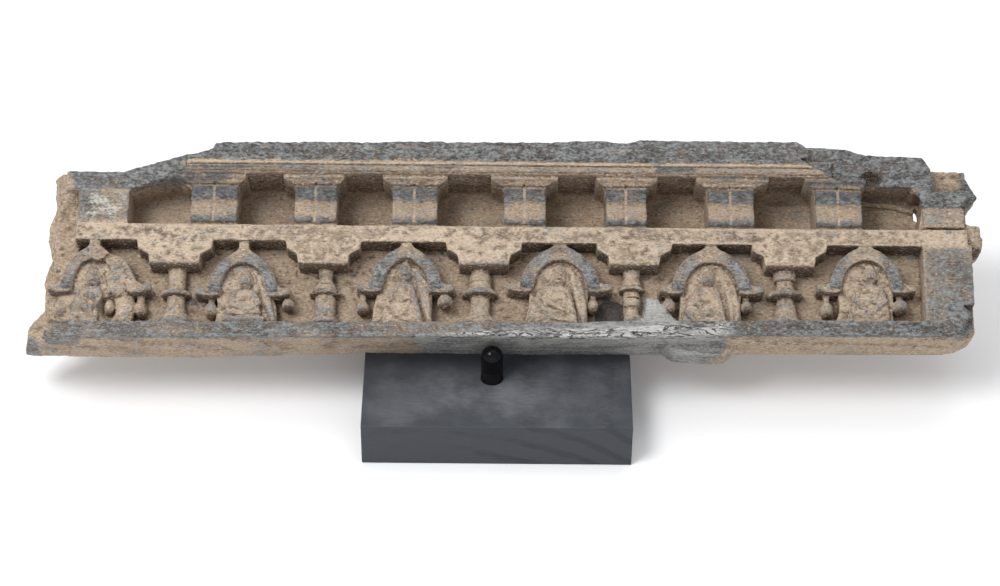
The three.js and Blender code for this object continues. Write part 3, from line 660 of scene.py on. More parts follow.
def surface(far, low, step):
    """The zero surface of a distance grid as points and four-sided faces (surface nets)."""
    inside = far < 0
    counts = np.zeros([n - 1 for n in far.shape], np.int8)
    for i in (0, 1):
        for j in (0, 1):
            for k in (0, 1):
                counts += inside[i:inside.shape[0] - 1 + i, j:inside.shape[1] - 1 + j,
                                 k:inside.shape[2] - 1 + k]
    cells = np.argwhere((counts > 0) & (counts < 8))
    number = np.full(counts.shape, -1, np.int32)
    number[tuple(cells.T)] = np.arange(len(cells))
    offsets = [(i, j, k) for i in (0, 1) for j in (0, 1) for k in (0, 1)]
    values = {c: far[cells[:, 0] + c[0], cells[:, 1] + c[1], cells[:, 2] + c[2]] for c in offsets}
    total = np.zeros((len(cells), 3), np.float32)
    hits = np.zeros(len(cells), np.float32)
    for a in offsets:
        for axis in range(3):
            if a[axis]:
                continue
            b = tuple(1 if n == axis else c for n, c in enumerate(a))
            crossed = (values[a] < 0) != (values[b] < 0)
            share = values[a] / np.where(crossed, values[a] - values[b], 1)
            point = np.zeros((len(cells), 3), np.float32) + np.array(a, np.float32)
            point[:, axis] += share
            total += point * crossed[:, None]
            hits += crossed
    points = (cells + total / hits[:, None]) * step + low
    faces = []
    for axis in range(3):
        first, second = (axis + 1) % 3, (axis + 2) % 3
        here = np.moveaxis(inside, (axis, first, second), (0, 1, 2))
        numbers = np.moveaxis(number, (axis, first, second), (0, 1, 2))
        change = here[1:, 1:-1, 1:-1] != here[:-1, 1:-1, 1:-1]
        i, j, k = np.nonzero(change)
        outward = here[i, j + 1, k + 1]
        ring = np.stack([numbers[i, j, k], numbers[i, j + 1, k], numbers[i, j + 1, k + 1],
                         numbers[i, j, k + 1]], axis=1)
        ring[~outward] = ring[~outward][:, ::-1]
        faces.append(ring)
    return points, np.concatenate(faces)


def make_mesh(name, points, faces):
    mesh = bpy.data.meshes.new(name)
    mesh.vertices.add(len(points))
    mesh.vertices.foreach_set("co", np.ascontiguousarray(points, np.float32).ravel())
    mesh.loops.add(faces.size)
    mesh.loops.foreach_set("vertex_index", faces.astype(np.int32).ravel())
    mesh.polygons.add(len(faces))
    mesh.polygons.foreach_set("loop_start", np.arange(0, faces.size, faces.shape[1], dtype=np.int32))
    mesh.update(calc_edges=True)
    piece = bpy.data.objects.new(name, mesh)
    scene.collection.objects.link(piece)
    return piece


def settled(piece, name):
    """The piece with its modifiers made real, as a plain mesh under its own name."""
    graph = bpy.context.evaluated_depsgraph_get()
    mesh = bpy.data.meshes.new_from_object(piece.evaluated_get(graph))
    mesh.name = name
    bpy.data.objects.remove(piece)
    done = bpy.data.objects.new(name, mesh)
    scene.collection.objects.link(done)
    return done


def main_body(points, faces):
    """The largest connected body alone, without the crumbs that the wear leaves beside it."""
    label = np.arange(len(points))
    changed = True
    while changed:
        before = label.copy()
        lowest = label[faces].min(axis=1)
        np.minimum.at(label, faces.ravel(), np.repeat(lowest, faces.shape[1]))
        label = label[label]
        changed = (label != before).any()
    keep = label == np.bincount(label).argmax()
    number = np.cumsum(keep) - 1
    return points[keep], number[faces[keep[faces[:, 0]]]]


points, faces = main_body(*surface(stone.far, stone.low, stone.step))
rough = make_mesh("rough_relief", points, faces)
fewer = rough.modifiers.new("fewer", "DECIMATE")
fewer.ratio = TRIANGLES / (2 * len(faces))
relief = settled(rough, "carved_relief")


def placed(local):
    """Points of the panel's own frame, in the object's frame and in metres."""
    foot = Vector((0, FOOT_Y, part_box("stand_base")[1][2] / MM + GAP))
    along = np.array([1, 0, 0])
    up = np.array([0, math.sin(LEAN), math.cos(LEAN)])
    out = np.array([0, -math.cos(LEAN), math.sin(LEAN)])
    world = np.array(foot) + local[:, :1] * along + local[:, 1:2] * up + local[:, 2:] * out
    return world * MM


def field_at(field, local):
    cell = np.rint((local - stone.low) / stone.step).astype(int)
    cell = np.clip(cell, 0, np.array(field.shape) - 1)
    return field[cell[:, 0], cell[:, 1], cell[:, 2]]


count = len(relief.data.vertices)
local = np.empty(count * 3, np.float32)
relief.data.vertices.foreach_get("co", local)
local = local.reshape(-1, 3)
u, v, w = local.T


def feather(points, width):
    """1 inside an outline on the face, fading to 0 over the width on each side of its edge."""
    return np.clip(0.5 - outline_distance(u, v, points) / (2 * width), 0, 1)


def lintel_face(centre, foot, top):
    """The front of a stepped bracket, up to a height on the band."""
    return [(centre - 14, foot), (centre + 14, foot), (centre + 21, 50), (centre + 21, top),
            (centre - 21, top), (centre - 21, 50)]


# How much stone lies round each point: arrises have little, hollows have much.
solid = np.clip(0.5 - stone.far / stone.step, 0, 1)
near, about, wide = (field_at(spread(spread(solid, first), then), local)
                     for first, then in ((1, 1), (3, 2), (6, 5)))
proud = np.clip((0.5 - near) * 4 + 0.5, 0, 1)
hollow = np.clip((wide - 0.5) * 2.6, 0, 1)
normals = np.empty(count * 3, np.float32)
relief.data.vertex_normals.foreach_get("vector", normals)
facing_up = normals.reshape(-1, 3)[:, 1]
# Painted shade: faces that turn downwards are darkened, less above the band and least in the end
# recess, whose broken top lets the light in.
soffit_shade = np.clip(-facing_up * 2.2 - 0.7, 0, 1) * rise(v, 9, 3)
soffit_shade *= rise(w, 9, 4) * fall(w, 39, 3) * np.where(v > 60, 0.62, 1)
soffit_shade *= np.where((v > 60) & (u < -177), 0.3, 1)

# Where the earth is rubbed off and the grey stone shows: (u from, u to, v from, v to, w from,
# how much).
RUBBED = [
    (-248, 40, -4, 9.6, 32, 0.74), (40, 262, -2, 10.6, 32, 0.95), (-262, -232, -5, 2.0, 22, 0.80),
    (-268, -257, -5, 1.5, 0, 0.80), (-266, 266, -5, 1.0, 0, 0.26), (-240, -205, 66, 84, 33, 0.62),
    (-240, -176, 84, 98, 30, 0.86), (-182, 210, 78.5, 87.6, 33.8, 0.90),
    (-182, 210, 64.6, 68.8, 33.8, 0.80), (-182, 210, 68.8, 78.5, 33.8, 0.34),
    (-180, 190, 94.6, 97.8, 40, 0.46), (-180, -80, 94.6, 97.8, 40, 0.66),
    (-180, 190, 88.4, 94.4, 35, 0.26), (88, 110, 94.6, 98.6, 38, 0.90),
    (-44, -24, 94.6, 98.0, 38, 0.70), (-184, -152, 88.4, 94, 35, 0.70),
    (112, 150, 90.4, 94, 35, 0.60), (171, 206, 88.4, 93, 35, 0.60), (-12, 8, 88.4, 92, 35, 0.60),
    (250, 270, 3, 22, 22, 1.0), (238, 268, 8, 54, 33, 0.60), (238, 272, 64, 78, 33, 0.20),
    (236, 272, 77.6, 90, 30, 0.95), (188, 245, 90, 106, 30, 0.95), (-236, 236, 22, 34, 30, 0.30),
    (-236, 236, 9, 22, 29.4, 0.30),
]
front = rise(w, 33, 2)
earthy_notch = feather(corners(245, 262, 92, 106), 1.2) * fall(w, 27, 1)
rubbed = field_at(np.broadcast_to(broken, stone.far.shape), local)
rubbed = rubbed * np.maximum(rise(v, 86, 3), rise(u, 230, 6))
rubbed *= rise(w, 17, 4) * (1 - earthy_notch) * rise(u, -244, 3)
for u0, u1, v0, v1, w0, much in RUBBED:
    here = feather(corners(u0, u1, v0, v1), 1.0)
    rubbed = np.maximum(rubbed, here * np.clip(w - w0 + 0.5, 0, 1) * much)
for centre, crown, reach, width, _, sides in ARCHES:
    foot = crown - ARCH_RISE
    flank = 0.40 + 0.40 * rise(np.abs(u - centre), 4, 8)
    for side in sides:
        band = feather(arch_side(centre, crown, reach, width, side), 0.8)
        start, end = centre + side * (reach - 6), centre + side * (reach + 7)
        scroll = feather(corners(start, end, foot - 3.4, foot + 4), 0.8)
        rubbed = np.maximum(rubbed, (band * flank + scroll * 0.5) * rise(w, 32.6, 1))

# Paler earth on the band, a fillet of the cornice, the lintels and the niches, and a painted pool of
# light on the end recess's floor.
pale_earth_and_light = np.maximum(feather(corners(-236, 262, 54, 65), 1.0),
                  feather([(-180, 98.8), (184, 98.8), (180, 101.4), (-180, 101.4)], 0.6))
for centre, _ in LINTELS:
    rubbed *= 1 - feather(lintel_face(centre, 44, 60), 1.0) * front * 0.85
    pale_earth_and_light = np.maximum(pale_earth_and_light, feather(lintel_face(centre, 42, 56), 1.0))
pale_earth_and_light *= front
# Painted light: the end recess's floor is paler where light falls in past its broken top.
end_recess = feather([(-208, 65), (-177, 65), (-177, 92), (-208, 84)], 2.0)
niche_ground = rise(w, 27, 2) * fall(w, 34.4, 1) * fall(v, 48, 3)
pale_earth_and_light = np.maximum(pale_earth_and_light, end_recess * fall(w, 30, 3) * 0.9)
pale_earth_and_light = np.maximum(pale_earth_and_light, niche_ground * rise(v, 9, 2) * 0.6)
ridges = np.clip((0.475 - about) * 10, 0, 1) * rise(w, 30.5, 1.5) * rise(v, 9, 2) * fall(v, 44, 3)
rubbed = np.maximum(rubbed, ridges * 0.50)
rubbed = np.clip(rubbed + proud * 0.25 - 0.14 - hollow * 0.25, 0, 1)

# Painted shade with dirt: darker wherever stone closes in, and along the creases under the mouldings
# of brackets and cornice.
crevice_dirt_and_shade = np.maximum(np.clip((near - 0.545) * 7, 0, 1), np.clip((about - 0.60) * 4, 0, 1) * 0.6)
for v0, v1, much in ((92.8, 93.6, 0.9), (94.1, 94.7, 0.5), (98.5, 99.2, 0.6), (87.9, 88.6, 0.7),
                     (76.8, 77.7, 0.7), (64.8, 65.5, 0.5)):
    crease_shade_line = feather(corners(-182, 206, v0, v1), 0.5) * rise(w, 34, 1)
    crevice_dirt_and_shade = np.maximum(crevice_dirt_and_shade, crease_shade_line * much)
crevice_dirt_and_shade *= rise(w, 9, 4) * (1 - 0.6 * front * rise(v, 65, 2) * fall(v, 87, 2))
# The pit by the cornice's broken end is painted dark for its shade.
pit_shade_patch = feather([(205, 93), (214, 92), (219, 100), (208, 101)], 2.0) * fall(w, 36, 2)
crevice_dirt_and_shade = np.maximum(crevice_dirt_and_shade, pit_shade_patch)

# The old repair: cement along the foot, white crust over the fillet, a smooth plaster fill.
cement_foot = feather([(-45, -6), (150, -6), (128, 3), (104, 4), (101, 9), (80, 9), (40, 8.5),
                       (15, 4), (-25, 1.5), (-45, 0)], 2.0)
cement_foot *= fall(w, 40, 2) * rise(u, -75, 40) * fall(u, 136, 16)
cement_fill = feather([(80, 8), (101, 8), (100, 14), (94, 17), (90, 26), (82, 27)], 1.0)
repair = np.maximum(cement_foot, cement_fill * rise(w, 16, 4))
crust = feather([(-34, 0), (-10, 3), (20, 4), (60, 5), (100, 8), (128, 9), (128, -1),
                 (-34, -3)], 1.2) * rise(w, 30, 3)
fill = feather([(80, 9), (101, 9), (100, 14), (94, 17), (90, 26), (82, 27)], 0.8)
fill *= rise(w, 16, 4)

# Bare slate beside the fill, and on the bracket lobes, the cornice and the right end: u and v
# ranges, and how much.
SLATE = [(-182, 206, 79.5, 87.6, 0.46), (-182, 206, 64.6, 68.8, 0.42), (-182, 206, 69, 79.5, 0.24),
         (86, 112, 94.2, 98.8, 0.44), (-44, -24, 94.6, 98.0, 0.45), (-184, -120, 94.6, 98.0, 0.48),
         (-184, -152, 88.4, 94.0, 0.42), (171, 206, 88.4, 93.0, 0.42), (262, 276, 54, 72, 0.60),
         (-240, -206, 66, 84, 0.30)]
slate_fill = feather([(54, 8), (71, 9), (70, 24), (60, 27), (55, 20)], 1.5)
slate_fill *= fall(w, 31, 3) * rise(w, 14, 4)
for u0, u1, v0, v1, much in SLATE:
    here = feather(corners(u0, u1, v0, v1), 1.2)
    slate_fill = np.maximum(slate_fill, here * rise(w, 33.8, 1) * much)
for left, right, _, _ in BRACKETS:
    middle = (left + right) / 2 - 0.4
    seam = feather(corners(middle - 0.5, middle + 0.5, 64, 88), 0.6) * rise(w, 33, 1)
    slate_fill *= 1 - seam
    rubbed *= 1 - seam * 0.9
    crevice_dirt_and_shade *= 1 - seam * 0.7
    pale_earth_and_light = np.maximum(pale_earth_and_light, seam * 0.8)
white_patch = feather([(-234, 66), (-212, 66), (-210, 82), (-230, 84)], 4.0) * front
masks = {"rubbed": rubbed, "hollow": hollow, "soffit_shade": soffit_shade, "crevice_dirt_and_shade": crevice_dirt_and_shade, "pale_earth_and_light": pale_earth_and_light,
         "repair": repair, "crust": crust, "fill": fill, "slate_fill": slate_fill,
         "white_patch": white_patch}
for name, values in masks.items():
    layer = relief.data.attributes.new(name, "FLOAT", "POINT")
    layer.data.foreach_set("value", values.astype(np.float32))

# The worn skin is held inside the solid's box.
low, high = (np.array(corner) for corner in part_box("relief_panel"))
relief.data.vertices.foreach_set(
    "co", np.clip(placed(local), low, high).astype(np.float32).ravel())
relief.data.polygons.foreach_set("use_smooth", np.ones(len(relief.data.polygons), bool))
relief.data.update()
del stone, solid


class Socket:
    """One output in a material's node tree, on which Python's operators add Math nodes."""

    def __init__(self, tree, output):
        self.tree, self.output = tree, output

    def node(self, kind, settings=None, inputs=None, output=0):
        """One output of a new node, after its settings are set and its inputs filled."""
        made = self.tree.nodes.new(kind)
        for key, value in (settings or {}).items():
            setattr(made, key, value)
        for key, value in (inputs or {}).items():
            if isinstance(value, Socket):
                self.tree.links.new(value.output, made.inputs[key])
            else:
                made.inputs[key].default_value = value
        return Socket(self.tree, made.outputs[output])

    def maths(self, operation, *values):
        inputs = dict(enumerate(values))
        return self.node("ShaderNodeMath", {"operation": operation}, inputs)

    def __add__(self, other):
        return self.maths("ADD", self, other)

    __radd__ = __add__

    def __mul__(self, other):
        return self.maths("MULTIPLY", self, other)

    __rmul__ = __mul__

    def __sub__(self, other):
        return self.maths("SUBTRACT", self, other)

    def __rsub__(self, other):
        return self.maths("SUBTRACT", other, self)

    def __truediv__(self, other):
        return self.maths("DIVIDE", self, other)

    def __abs__(self):
        return self.maths("ABSOLUTE", self)

    def high(self, other):
        return self.maths("MAXIMUM", self, other)

    def low(self, other):
        return self.maths("MINIMUM", self, other)

    def root(self):
        return self.maths("SQRT", self)

    def sine(self):
        return self.maths("SINE", self)

    def axis(self, number):
        """One number of this vector: 0 for x, 1 for y, 2 for z."""
        return self.node("ShaderNodeSeparateXYZ", None, {0: self}, number)

    def step(self, start, end):
        """0 below start, 1 above end, smooth between."""
        settings = {"interpolation_type": "SMOOTHSTEP"}
        return self.node("ShaderNodeMapRange", settings, {0: self, 1: start, 2: end})

    def noise(self, scale, detail=4.0, roughness=0.55, distortion=0.0):
        """Noise at this place, in lumps that are smaller the larger the scale."""
        return self.node("ShaderNodeTexNoise", {"noise_dimensions": "3D"}, {
            "Vector": self, "Scale": scale, "Detail": detail, "Roughness": roughness,
            "Distortion": distortion})

    def over(self, x, y, z, turn=(0, 0, 0)):
        """This place times a factor on each axis, after a turn."""
        return self.node("ShaderNodeMapping", {"vector_type": "POINT"}, {
            "Vector": self, "Rotation": turn, "Scale": (x, y, z)})

    def between(self, one, other):
        """The first colour where this share is 0, going over to the other where it is 1."""
        return self.node("ShaderNodeMix", {"data_type": "RGBA"}, {0: self, 6: one, 7: other}, 2)

    def mix(self, other, share):
        """This colour, going over to the other one by the share."""
        return share.between(self, other)


def colour(red, green, blue):
    """A colour as a shader holds it, from its 0 to 255 screen values."""
    def linear(c):
        c /= 255
        return c / 12.92 if c < 0.04045 else ((c + 0.055) / 1.055) ** 2.4
    return (linear(red), linear(green), linear(blue), 1)


def new_material(name):
    material = bpy.data.materials.new(name)
    material.use_nodes = True
    tree = material.node_tree
    place = Socket(tree, tree.nodes.new("ShaderNodeTexCoord").outputs["Object"])
    return material, tree.nodes["Principled BSDF"], place


def wire(shader, **links):
    for key, value in links.items():
        socket = shader.inputs[key.replace("_", " ")]
        if isinstance(value, Socket):
            value.tree.links.new(value.output, socket)
        else:
            socket.default_value = value


def bump(strength, distance, height):
    inputs = {"Strength": strength, "Distance": distance, "Height": height}
    return height.node("ShaderNodeBump", None, inputs)


TAN = colour(180, 157, 134)
PALE_EARTH_AND_LIGHT = colour(228, 206, 181)
BROWN = colour(134, 106, 82)
# Deep brown: earth in streaks, and painted shade under faces and in creases.
DEEP_EARTH_AND_SHADE = colour(74, 53, 38)
SCHIST = colour(154, 156, 156)
DARK_SCHIST = colour(66, 68, 70)
CEMENT = colour(176, 175, 172)
WET_CEMENT = colour(118, 118, 119)
PLASTER = colour(196, 196, 193)
LIME = colour(222, 220, 216)
PIT_SHADE = colour(46, 38, 32)
CHALK_AND_GLINT = colour(234, 226, 212)

schist, shader, place = new_material("schist_with_earth")


def painted(name):
    """A mask laid on the relief's points."""
    return place.node("ShaderNodeAttribute", {"attribute_name": name}, output=2)


flat_place = place.over(1, 1, 1, (-LEAN_BACK, 0, 0))
grit = flat_place.over(0.55, 1, 1).noise(1000, 3, 0.65)
fine = flat_place.over(0.55, 1, 1).noise(620, 4, 0.7)
middling = flat_place.over(0.6, 1, 1).noise(210, 5, 0.68)
broad = flat_place.noise(42, 4, 0.6)
streak = flat_place.over(0.14, 1, 1).noise(420, 5, 0.65, 0.5)

# Paler earth, with the painted light on the end recess's floor.
pale_share = (middling * 0.7 + fine * 0.5 - 0.1).step(0.38, 0.70) * 0.55 + painted("pale_earth_and_light") * 0.5
tan = pale_share.between(TAN, PALE_EARTH_AND_LIGHT)
tan = tan.mix(BROWN, (streak * 0.5 + broad * 0.5).step(0.50, 0.70) * 0.35)
clean = (middling * 0.4 + fine * 0.6 + streak * 0.1).step(0.43, 0.66)
grey = clean.between(DARK_SCHIST, SCHIST)
mottle = (middling - 0.5) * 1.7 + (broad - 0.5) * 1.6 + (fine - 0.5) * 1.4 + (streak - 0.5) * 0.9
settled_in = 1.25 - painted("rubbed") * 0.75
grey_share = (painted("rubbed") + mottle * settled_in).step(0.2, 0.9)
base = tan.mix(grey, grey_share)
base = base.mix(PALE_EARTH_AND_LIGHT, streak.step(0.56, 0.74) * 0.30)
base = base.mix(DEEP_EARTH_AND_SHADE, (1 - streak).step(0.56, 0.74) * 0.20)
base = base.mix(BROWN, (painted("hollow") * (0.5 + middling)).step(0.45, 1.0) * 0.22)
# Painted shade on the faces that turn downwards.
base = base.mix(DEEP_EARTH_AND_SHADE, painted("soffit_shade") * 0.82)
# Painted shade, with dirt, in the creases and under the mouldings' lips.
base = base.mix(DEEP_EARTH_AND_SHADE, (painted("crevice_dirt_and_shade") * (0.5 + fine * 1.2)).low(1.0) * 0.72)
# Chalky white on the left block's patch and in pale flecks.
chalk = painted("white_patch") * 0.7 + (fine - 0.5) * 1.6 + (middling - 0.5) * 1.8
base = base.mix(CHALK_AND_GLINT, chalk.step(0.45, 0.95) * 0.75)
cement = (streak * 0.6 + broad * 0.5).step(0.44, 0.66).between(WET_CEMENT, CEMENT)
repair_share = painted("repair") * 1.2 + (middling - 0.5) * 0.9 + (broad - 0.5) * 1.4
base = base.mix(cement, repair_share.step(0.30, 0.70))
# The white crust is ragged, with thin pale lines and dark cracks where the noise crosses 0.5.
lines = flat_place.over(0.22, 1, 1).noise(170, 5, 0.6, 1.6)
ragged = painted("crust") * 0.9 + (lines - 0.5) * 3.4 + (fine - 0.5) * 1.4 + (broad - 0.5)
base = base.mix(LIME, ragged.step(0.80, 1.20) * 0.70)
crossing = abs(lines - 0.5)
pale_line = painted("crust") * crossing.step(0.105, 0.070) * (middling - 0.1).step(0.3, 0.5)
base = base.mix(LIME, pale_line * 0.8)
base = base.mix(PIT_SHADE, painted("crust") * crossing.step(0.036, 0.022) * 0.9)
base = base.mix(PLASTER, (painted("fill") + (middling - 0.5) * 0.5).step(0.4, 0.55))
bare_slate = (painted("slate_fill") + (middling - 0.5) * 0.8).step(0.35, 0.6)
base = base.mix(DARK_SCHIST, bare_slate * 0.85)
base = base.mix(PIT_SHADE, grit.step(0.54, 0.69) * 0.58)
# Painted glints: pale specks of light off the grains, fewer on the grey and none on the bare slate.
sparkle = (1 - grit).step(0.53, 0.68) * (0.62 - grey_share * 0.36)
base = base.mix(CHALK_AND_GLINT, sparkle * (1 - painted("slate_fill")))
rough_skin = bump(0.9, 0.0020, streak * 1.0 + middling * 0.9 + fine * 1.3 - grit * 1.0)
wire(shader, Base_Color=base, Roughness=(0.94 - grey_share * 0.16 - fine * 0.06),
     Normal=rough_skin, Specular_IOR_Level=0.32)
relief.data.materials.clear()
relief.data.materials.append(schist)
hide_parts("relief_panel")
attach(relief, "root")

# ------------------------------
# Stand base
# A square block of planed softwood, drilled for the three rods and brushed with matt black
# paint. Its arrises are eased, the grain shows through on the front, and dust lies on top.
# ------------------------------
base_low, base_high = (Vector(corner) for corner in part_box("stand_base"))
ARRIS = 0.0007
HOLE_GAP = 0.3 * MM
HOLE_DEPTH = 12 * MM
DRILL_SPARE = 10 * MM
HOLE_SIDES = 48
PITH_LEFT = 0.045
PITH_BELOW = 0.115
RING_RATE = 520
RODS = ("front_peg", "rear_post_left", "rear_post_right")


def joined(name, build):
    """A new object whose mesh is made by build(bm)."""
    mesh = bpy.data.meshes.new(name)
    bm = bmesh.new()
    build(bm)
    bm.to_mesh(mesh)
    bm.free()
    made = bpy.data.objects.new(name, mesh)
    scene.collection.objects.link(made)
    return made


def base_block(bm):
    size = base_high - base_low
    bmesh.ops.create_cube(bm, size=1, matrix=Matrix.Translation((base_low + base_high) / 2)
                          @ Matrix.Diagonal((*size, 1)))


def rod_holes(bm):
    for name in RODS:
        low, high = (Vector(corner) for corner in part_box(name))
        radius = (high.x - low.x) / 2 + HOLE_GAP
        depth = HOLE_DEPTH + DRILL_SPARE
        centre = ((low.x + high.x) / 2, (low.y + high.y) / 2, base_high.z - HOLE_DEPTH + depth / 2)
        bmesh.ops.create_cone(bm, cap_ends=True, segments=HOLE_SIDES, radius1=radius, radius2=radius,
                              depth=depth, matrix=Matrix.Translation(centre))


drills = joined("drills", rod_holes)
plank = joined("plank", base_block)
eased = plank.modifiers.new("eased", "BEVEL")
eased.width = ARRIS
eased.segments = 3
drilled = plank.modifiers.new("drilled", "BOOLEAN")
drilled.object = drills
drilled.operation = "DIFFERENCE"
drilled.solver = "EXACT"
stand = settled(plank, "painted_block")
bpy.data.objects.remove(drills)
# Only the eased arrises and the walls of the holes are shaded smooth.
for polygon in stand.data.polygons:
    polygon.use_smooth = polygon.area < 1e-4 and abs(polygon.normal.z) < 0.999

BLACK_PAINT = colour(60, 63, 68)
GRAIN_PAINT = colour(48, 51, 56)
DUST = colour(124, 126, 131)

black_wood, shader, place = new_material("black_painted_wood")
x, y, z = (place.axis(number) for number in range(3))
waver = place.over(1, 0.12, 1).noise(22, 3, 0.5)
# Year rings of the plank, about the pith of its tree.
from_pith_x, from_pith_z = x + PITH_LEFT, z + PITH_BELOW
from_pith = (from_pith_x * from_pith_x * 0.55 + from_pith_z * from_pith_z).root()
rings = ((from_pith + waver * 0.018) * RING_RATE).sine().step(0.1, 0.9)
fibre = place.over(0.10, 0.10, 1).noise(2600, 3, 0.6)
brushed = place.over(0.25, 1, 1).noise(700, 4, 0.6)
cloud = place.noise(26, 5, 0.62)
grit = place.noise(2200, 3, 0.6)
up = place.node("ShaderNodeNewGeometry", None, None, output=1)
on_top = up.axis(2).step(0.6, 0.95)
covered = (0.75 - rings * 0.45 * waver.step(0.35, 0.6) + (brushed - 0.5) * 0.9
           + (fibre - 0.5) * 0.5).step(0.15, 0.85)
paint = covered.between(GRAIN_PAINT, BLACK_PAINT)
# Dust lies on the top, thickest in a patch in front of the peg.
peg_low, peg_high = (Vector(corner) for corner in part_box("front_peg"))
from_peg_x = x - (peg_low.x + peg_high.x) / 2
from_peg_y = y - ((peg_low.y + peg_high.y) / 2 - 0.016)
spread_out = from_peg_x * from_peg_x * 0.35 + from_peg_y * from_peg_y
halo = 1 - spread_out.root().step(0.004, 0.030)
dusty = (cloud.step(0.42, 0.72) * 0.55 + halo * 0.65 * cloud.step(0.30, 0.60)) * on_top
dusty = dusty * (0.35 + brushed * 0.9) + grit.step(0.66, 0.72) * 0.25
paint = paint.mix(DUST, dusty.low(0.8) * 0.62)
brush_marks = bump(0.35, 0.0004, brushed + fibre * 0.6 + rings * 0.25 + grit * 0.3)
wire(shader, Base_Color=paint, Roughness=0.62 + dusty * 0.2 + (brushed - 0.5) * 0.15,
     Normal=brush_marks, Specular_IOR_Level=0.35)
stand.data.materials.clear()
stand.data.materials.append(black_wood)
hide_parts("stand_base")
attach(stand, "root")

# ------------------------------
# Front peg and rear posts
# Steel rods pushed into the block, each in a shiny black plastic sleeve with a domed end. The
# sleeve stops short of the wood, where the bare rod is rough with thick black paint.
# ------------------------------
COLLAR_SHARE = 0.34  # of a rod's height above the block, left bare of its sleeve
COLLAR_EDGE = 0.0004
ROD_RINGS = 160
ROD_SIDES = 40
RIB_RATE = 5200
RIB_SIZE = 0.012


def rod_tree():
    """A round upright rod with a domed top, rough below the height of its Collar."""
    tree = bpy.data.node_groups.new("sleeved_rod", "GeometryNodeTree")
    face = tree.interface
    face.new_socket("Geometry", in_out="OUTPUT", socket_type="NodeSocketGeometry")
    for name in ("Radius", "Bottom", "Top", "Collar"):
        face.new_socket(name, in_out="INPUT", socket_type="NodeSocketFloat")
    face.new_socket("Centre", in_out="INPUT", socket_type="NodeSocketVector")
    face.new_socket("Finish", in_out="INPUT", socket_type="NodeSocketMaterial")
    start = tree.nodes.new("NodeGroupInput")
    given = {s.name: Socket(tree, s) for s in start.outputs if s.name}
    radius, bottom, top, collar = (given[n] for n in ("Radius", "Bottom", "Top", "Collar"))
    low_end = radius.node("ShaderNodeCombineXYZ", None, {2: bottom})
    high_end = radius.node("ShaderNodeCombineXYZ", None, {2: top})
    line = radius.node("GeometryNodeCurvePrimitiveLine", None, {"Start": low_end, "End": high_end})
    fine_line = radius.node("GeometryNodeResampleCurve", None, {"Curve": line, "Count": ROD_RINGS})
    position = radius.node("GeometryNodeInputPosition")
    z = position.axis(2)
    # Within a radius of the top the rod narrows to a dome, and below the collar it is ribbed.
    drop = (1 - (top - z) / radius).high(0.0)
    dome = (1 - drop * drop).high(0.0).root()
    ribs = (z * RIB_RATE).sine() * RIB_SIZE + 1.0
    below = (collar - z).step(-0.0002, 0.0002)
    width = dome * (1 - below * 0.02) * (below * (ribs - 1) + 1)
    sized = radius.node("GeometryNodeSetCurveRadius", None, {"Curve": fine_line, "Radius": width})
    ring = radius.node("GeometryNodeCurvePrimitiveCircle", None, {
        "Resolution": ROD_SIDES, "Radius": radius})
    skin = radius.node("GeometryNodeCurveToMesh", None, {
        "Curve": sized, "Profile Curve": ring, "Fill Caps": True, "Scale": width})
    closed = radius.node("GeometryNodeMergeByDistance", None, {"Geometry": skin, "Distance": 1e-6})
    set_down = radius.node("GeometryNodeTransform", None, {
        "Geometry": closed, "Translation": given["Centre"]})
    finished = radius.node("GeometryNodeSetMaterial", None, {
        "Geometry": set_down, "Material": given["Finish"]})
    smooth = radius.node("GeometryNodeSetShadeSmooth", None, {"Geometry": finished})
    real = radius.node("GeometryNodeRealizeInstances", None, {"Geometry": smooth})
    end = tree.nodes.new("NodeGroupOutput")
    tree.links.new(real.output, end.inputs[0])
    return tree


SLEEVE_BLACK = colour(14, 14, 16)
ROUGH_BLACK = colour(22, 21, 21)
SCUFF_GREY = colour(96, 92, 86)

sleeve, shader, place = new_material("black_sleeve")
collar_top = base_high.z + (peg_high.z - base_high.z) * COLLAR_SHARE
rough_foot = 1 - place.axis(2).step(collar_top - COLLAR_EDGE, collar_top + COLLAR_EDGE)
scuffs = place.over(1, 1, 0.35).noise(900, 5, 0.6)
tint = (rough_foot * (0.2 + scuffs * 0.8)).low(1.0).between(SLEEVE_BLACK, ROUGH_BLACK)
tint = tint.mix(SCUFF_GREY, scuffs.step(0.58, 0.75) * (0.10 + rough_foot * 0.5))
wire(shader, Base_Color=tint, Roughness=0.10 + rough_foot * 0.42 + scuffs * 0.05,
     Normal=bump(0.4, 0.0005, scuffs * (0.06 + rough_foot)), Specular_IOR_Level=0.12)

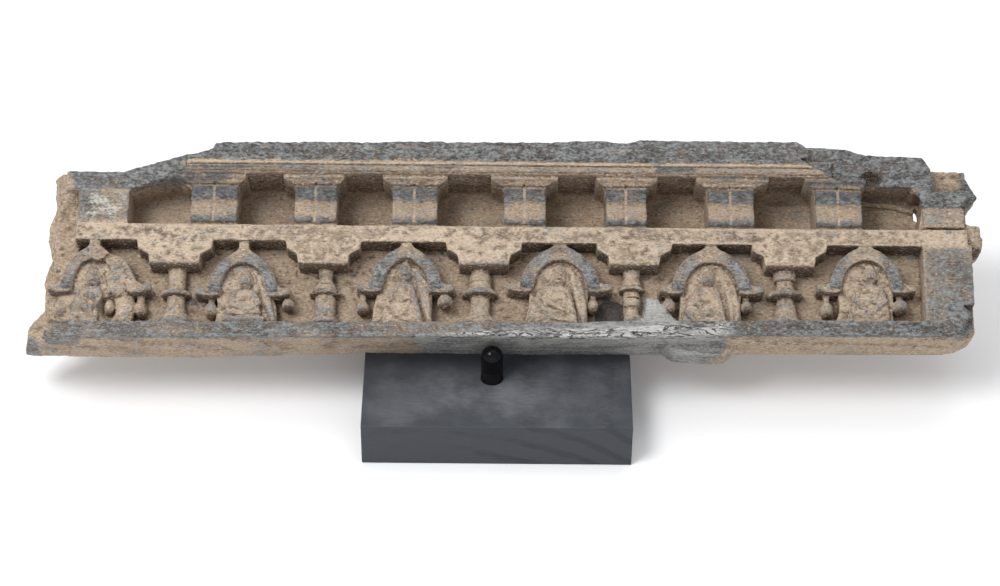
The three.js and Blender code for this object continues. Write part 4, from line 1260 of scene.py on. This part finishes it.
rods = rod_tree()
inputs = {item.name: item.identifier for item in rods.interface.items_tree if item.in_out == "INPUT"}
for name in RODS:
    low, high = (Vector(corner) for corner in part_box(name))
    carrier = bpy.data.objects.new("carrier", bpy.data.meshes.new("carrier"))
    scene.collection.objects.link(carrier)
    made = carrier.modifiers.new("rod", "NODES")
    made.node_group = rods
    made[inputs["Radius"]] = (high.x - low.x) / 2
    made[inputs["Bottom"]] = low.z
    made[inputs["Top"]] = high.z
    made[inputs["Collar"]] = base_high.z + (high.z - base_high.z) * COLLAR_SHARE
    made[inputs["Centre"]] = ((low.x + high.x) / 2, (low.y + high.y) / 2, 0)
    made[inputs["Finish"]] = sleeve
    rod = settled(carrier, "sleeved_" + name)
    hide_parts(name)
    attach(rod, "root")

# ------------------------------
# Floor, lights and camera
# A wide white sheet under soft light from above and the left, seen from in front and above.
# ------------------------------
sheet = joined("sheet", lambda bm: bmesh.ops.create_grid(bm, x_segments=1, y_segments=1, size=6))
white, shader, place = new_material("white_sheet")
wire(shader, Base_Color=colour(246, 246, 247), Roughness=0.9, Specular_IOR_Level=0.1)
sheet.data.materials.append(white)

world = bpy.data.worlds.new("studio")
world.use_nodes = True
world.node_tree.nodes["Background"].inputs["Color"].default_value = (0.97, 0.985, 1.0, 1)
world.node_tree.nodes["Background"].inputs["Strength"].default_value = 0.65
scene.world = world
scene.view_settings.view_transform = "Standard"


def softbox(name, place, target, size, watts):
    light = bpy.data.lights.new(name, "AREA")
    light.shape = "RECTANGLE"
    light.size, light.size_y = size
    light.energy = watts
    lamp = bpy.data.objects.new(name, light)
    scene.collection.objects.link(lamp)
    aim = Vector(target) - Vector(place)
    lamp.matrix_world = Matrix.Translation(place) @ aim.to_track_quat("-Z", "Y").to_matrix().to_4x4()


softbox("key", (-0.85, -0.60, 1.8), (0, 0, 0.05), (0.8, 0.8), 27)
softbox("overhead", (0.3, 0.6, 1.9), (0, 0, 0.05), (1.4, 0.9), 7)
softbox("front", (0, -1.5, 0.42), (0, 0, 0.02), (2.2, 0.5), 3)

view = bpy.data.cameras.new("camera")
view.lens = 97.2
view.sensor_width = 36
camera = bpy.data.objects.new("camera", view)
scene.collection.objects.link(camera)
right = Vector((0.99996, 0.00625, 0.00624))
upward = Vector((-0.00882, 0.66390, 0.74777))
backward = right.cross(upward)
turn = Matrix((right, upward, backward)).transposed().to_4x4()
camera.matrix_world = Matrix.Translation(Vector((1.914, -1135.772, 1069.212)) * MM) @ turn
scene.camera = camera
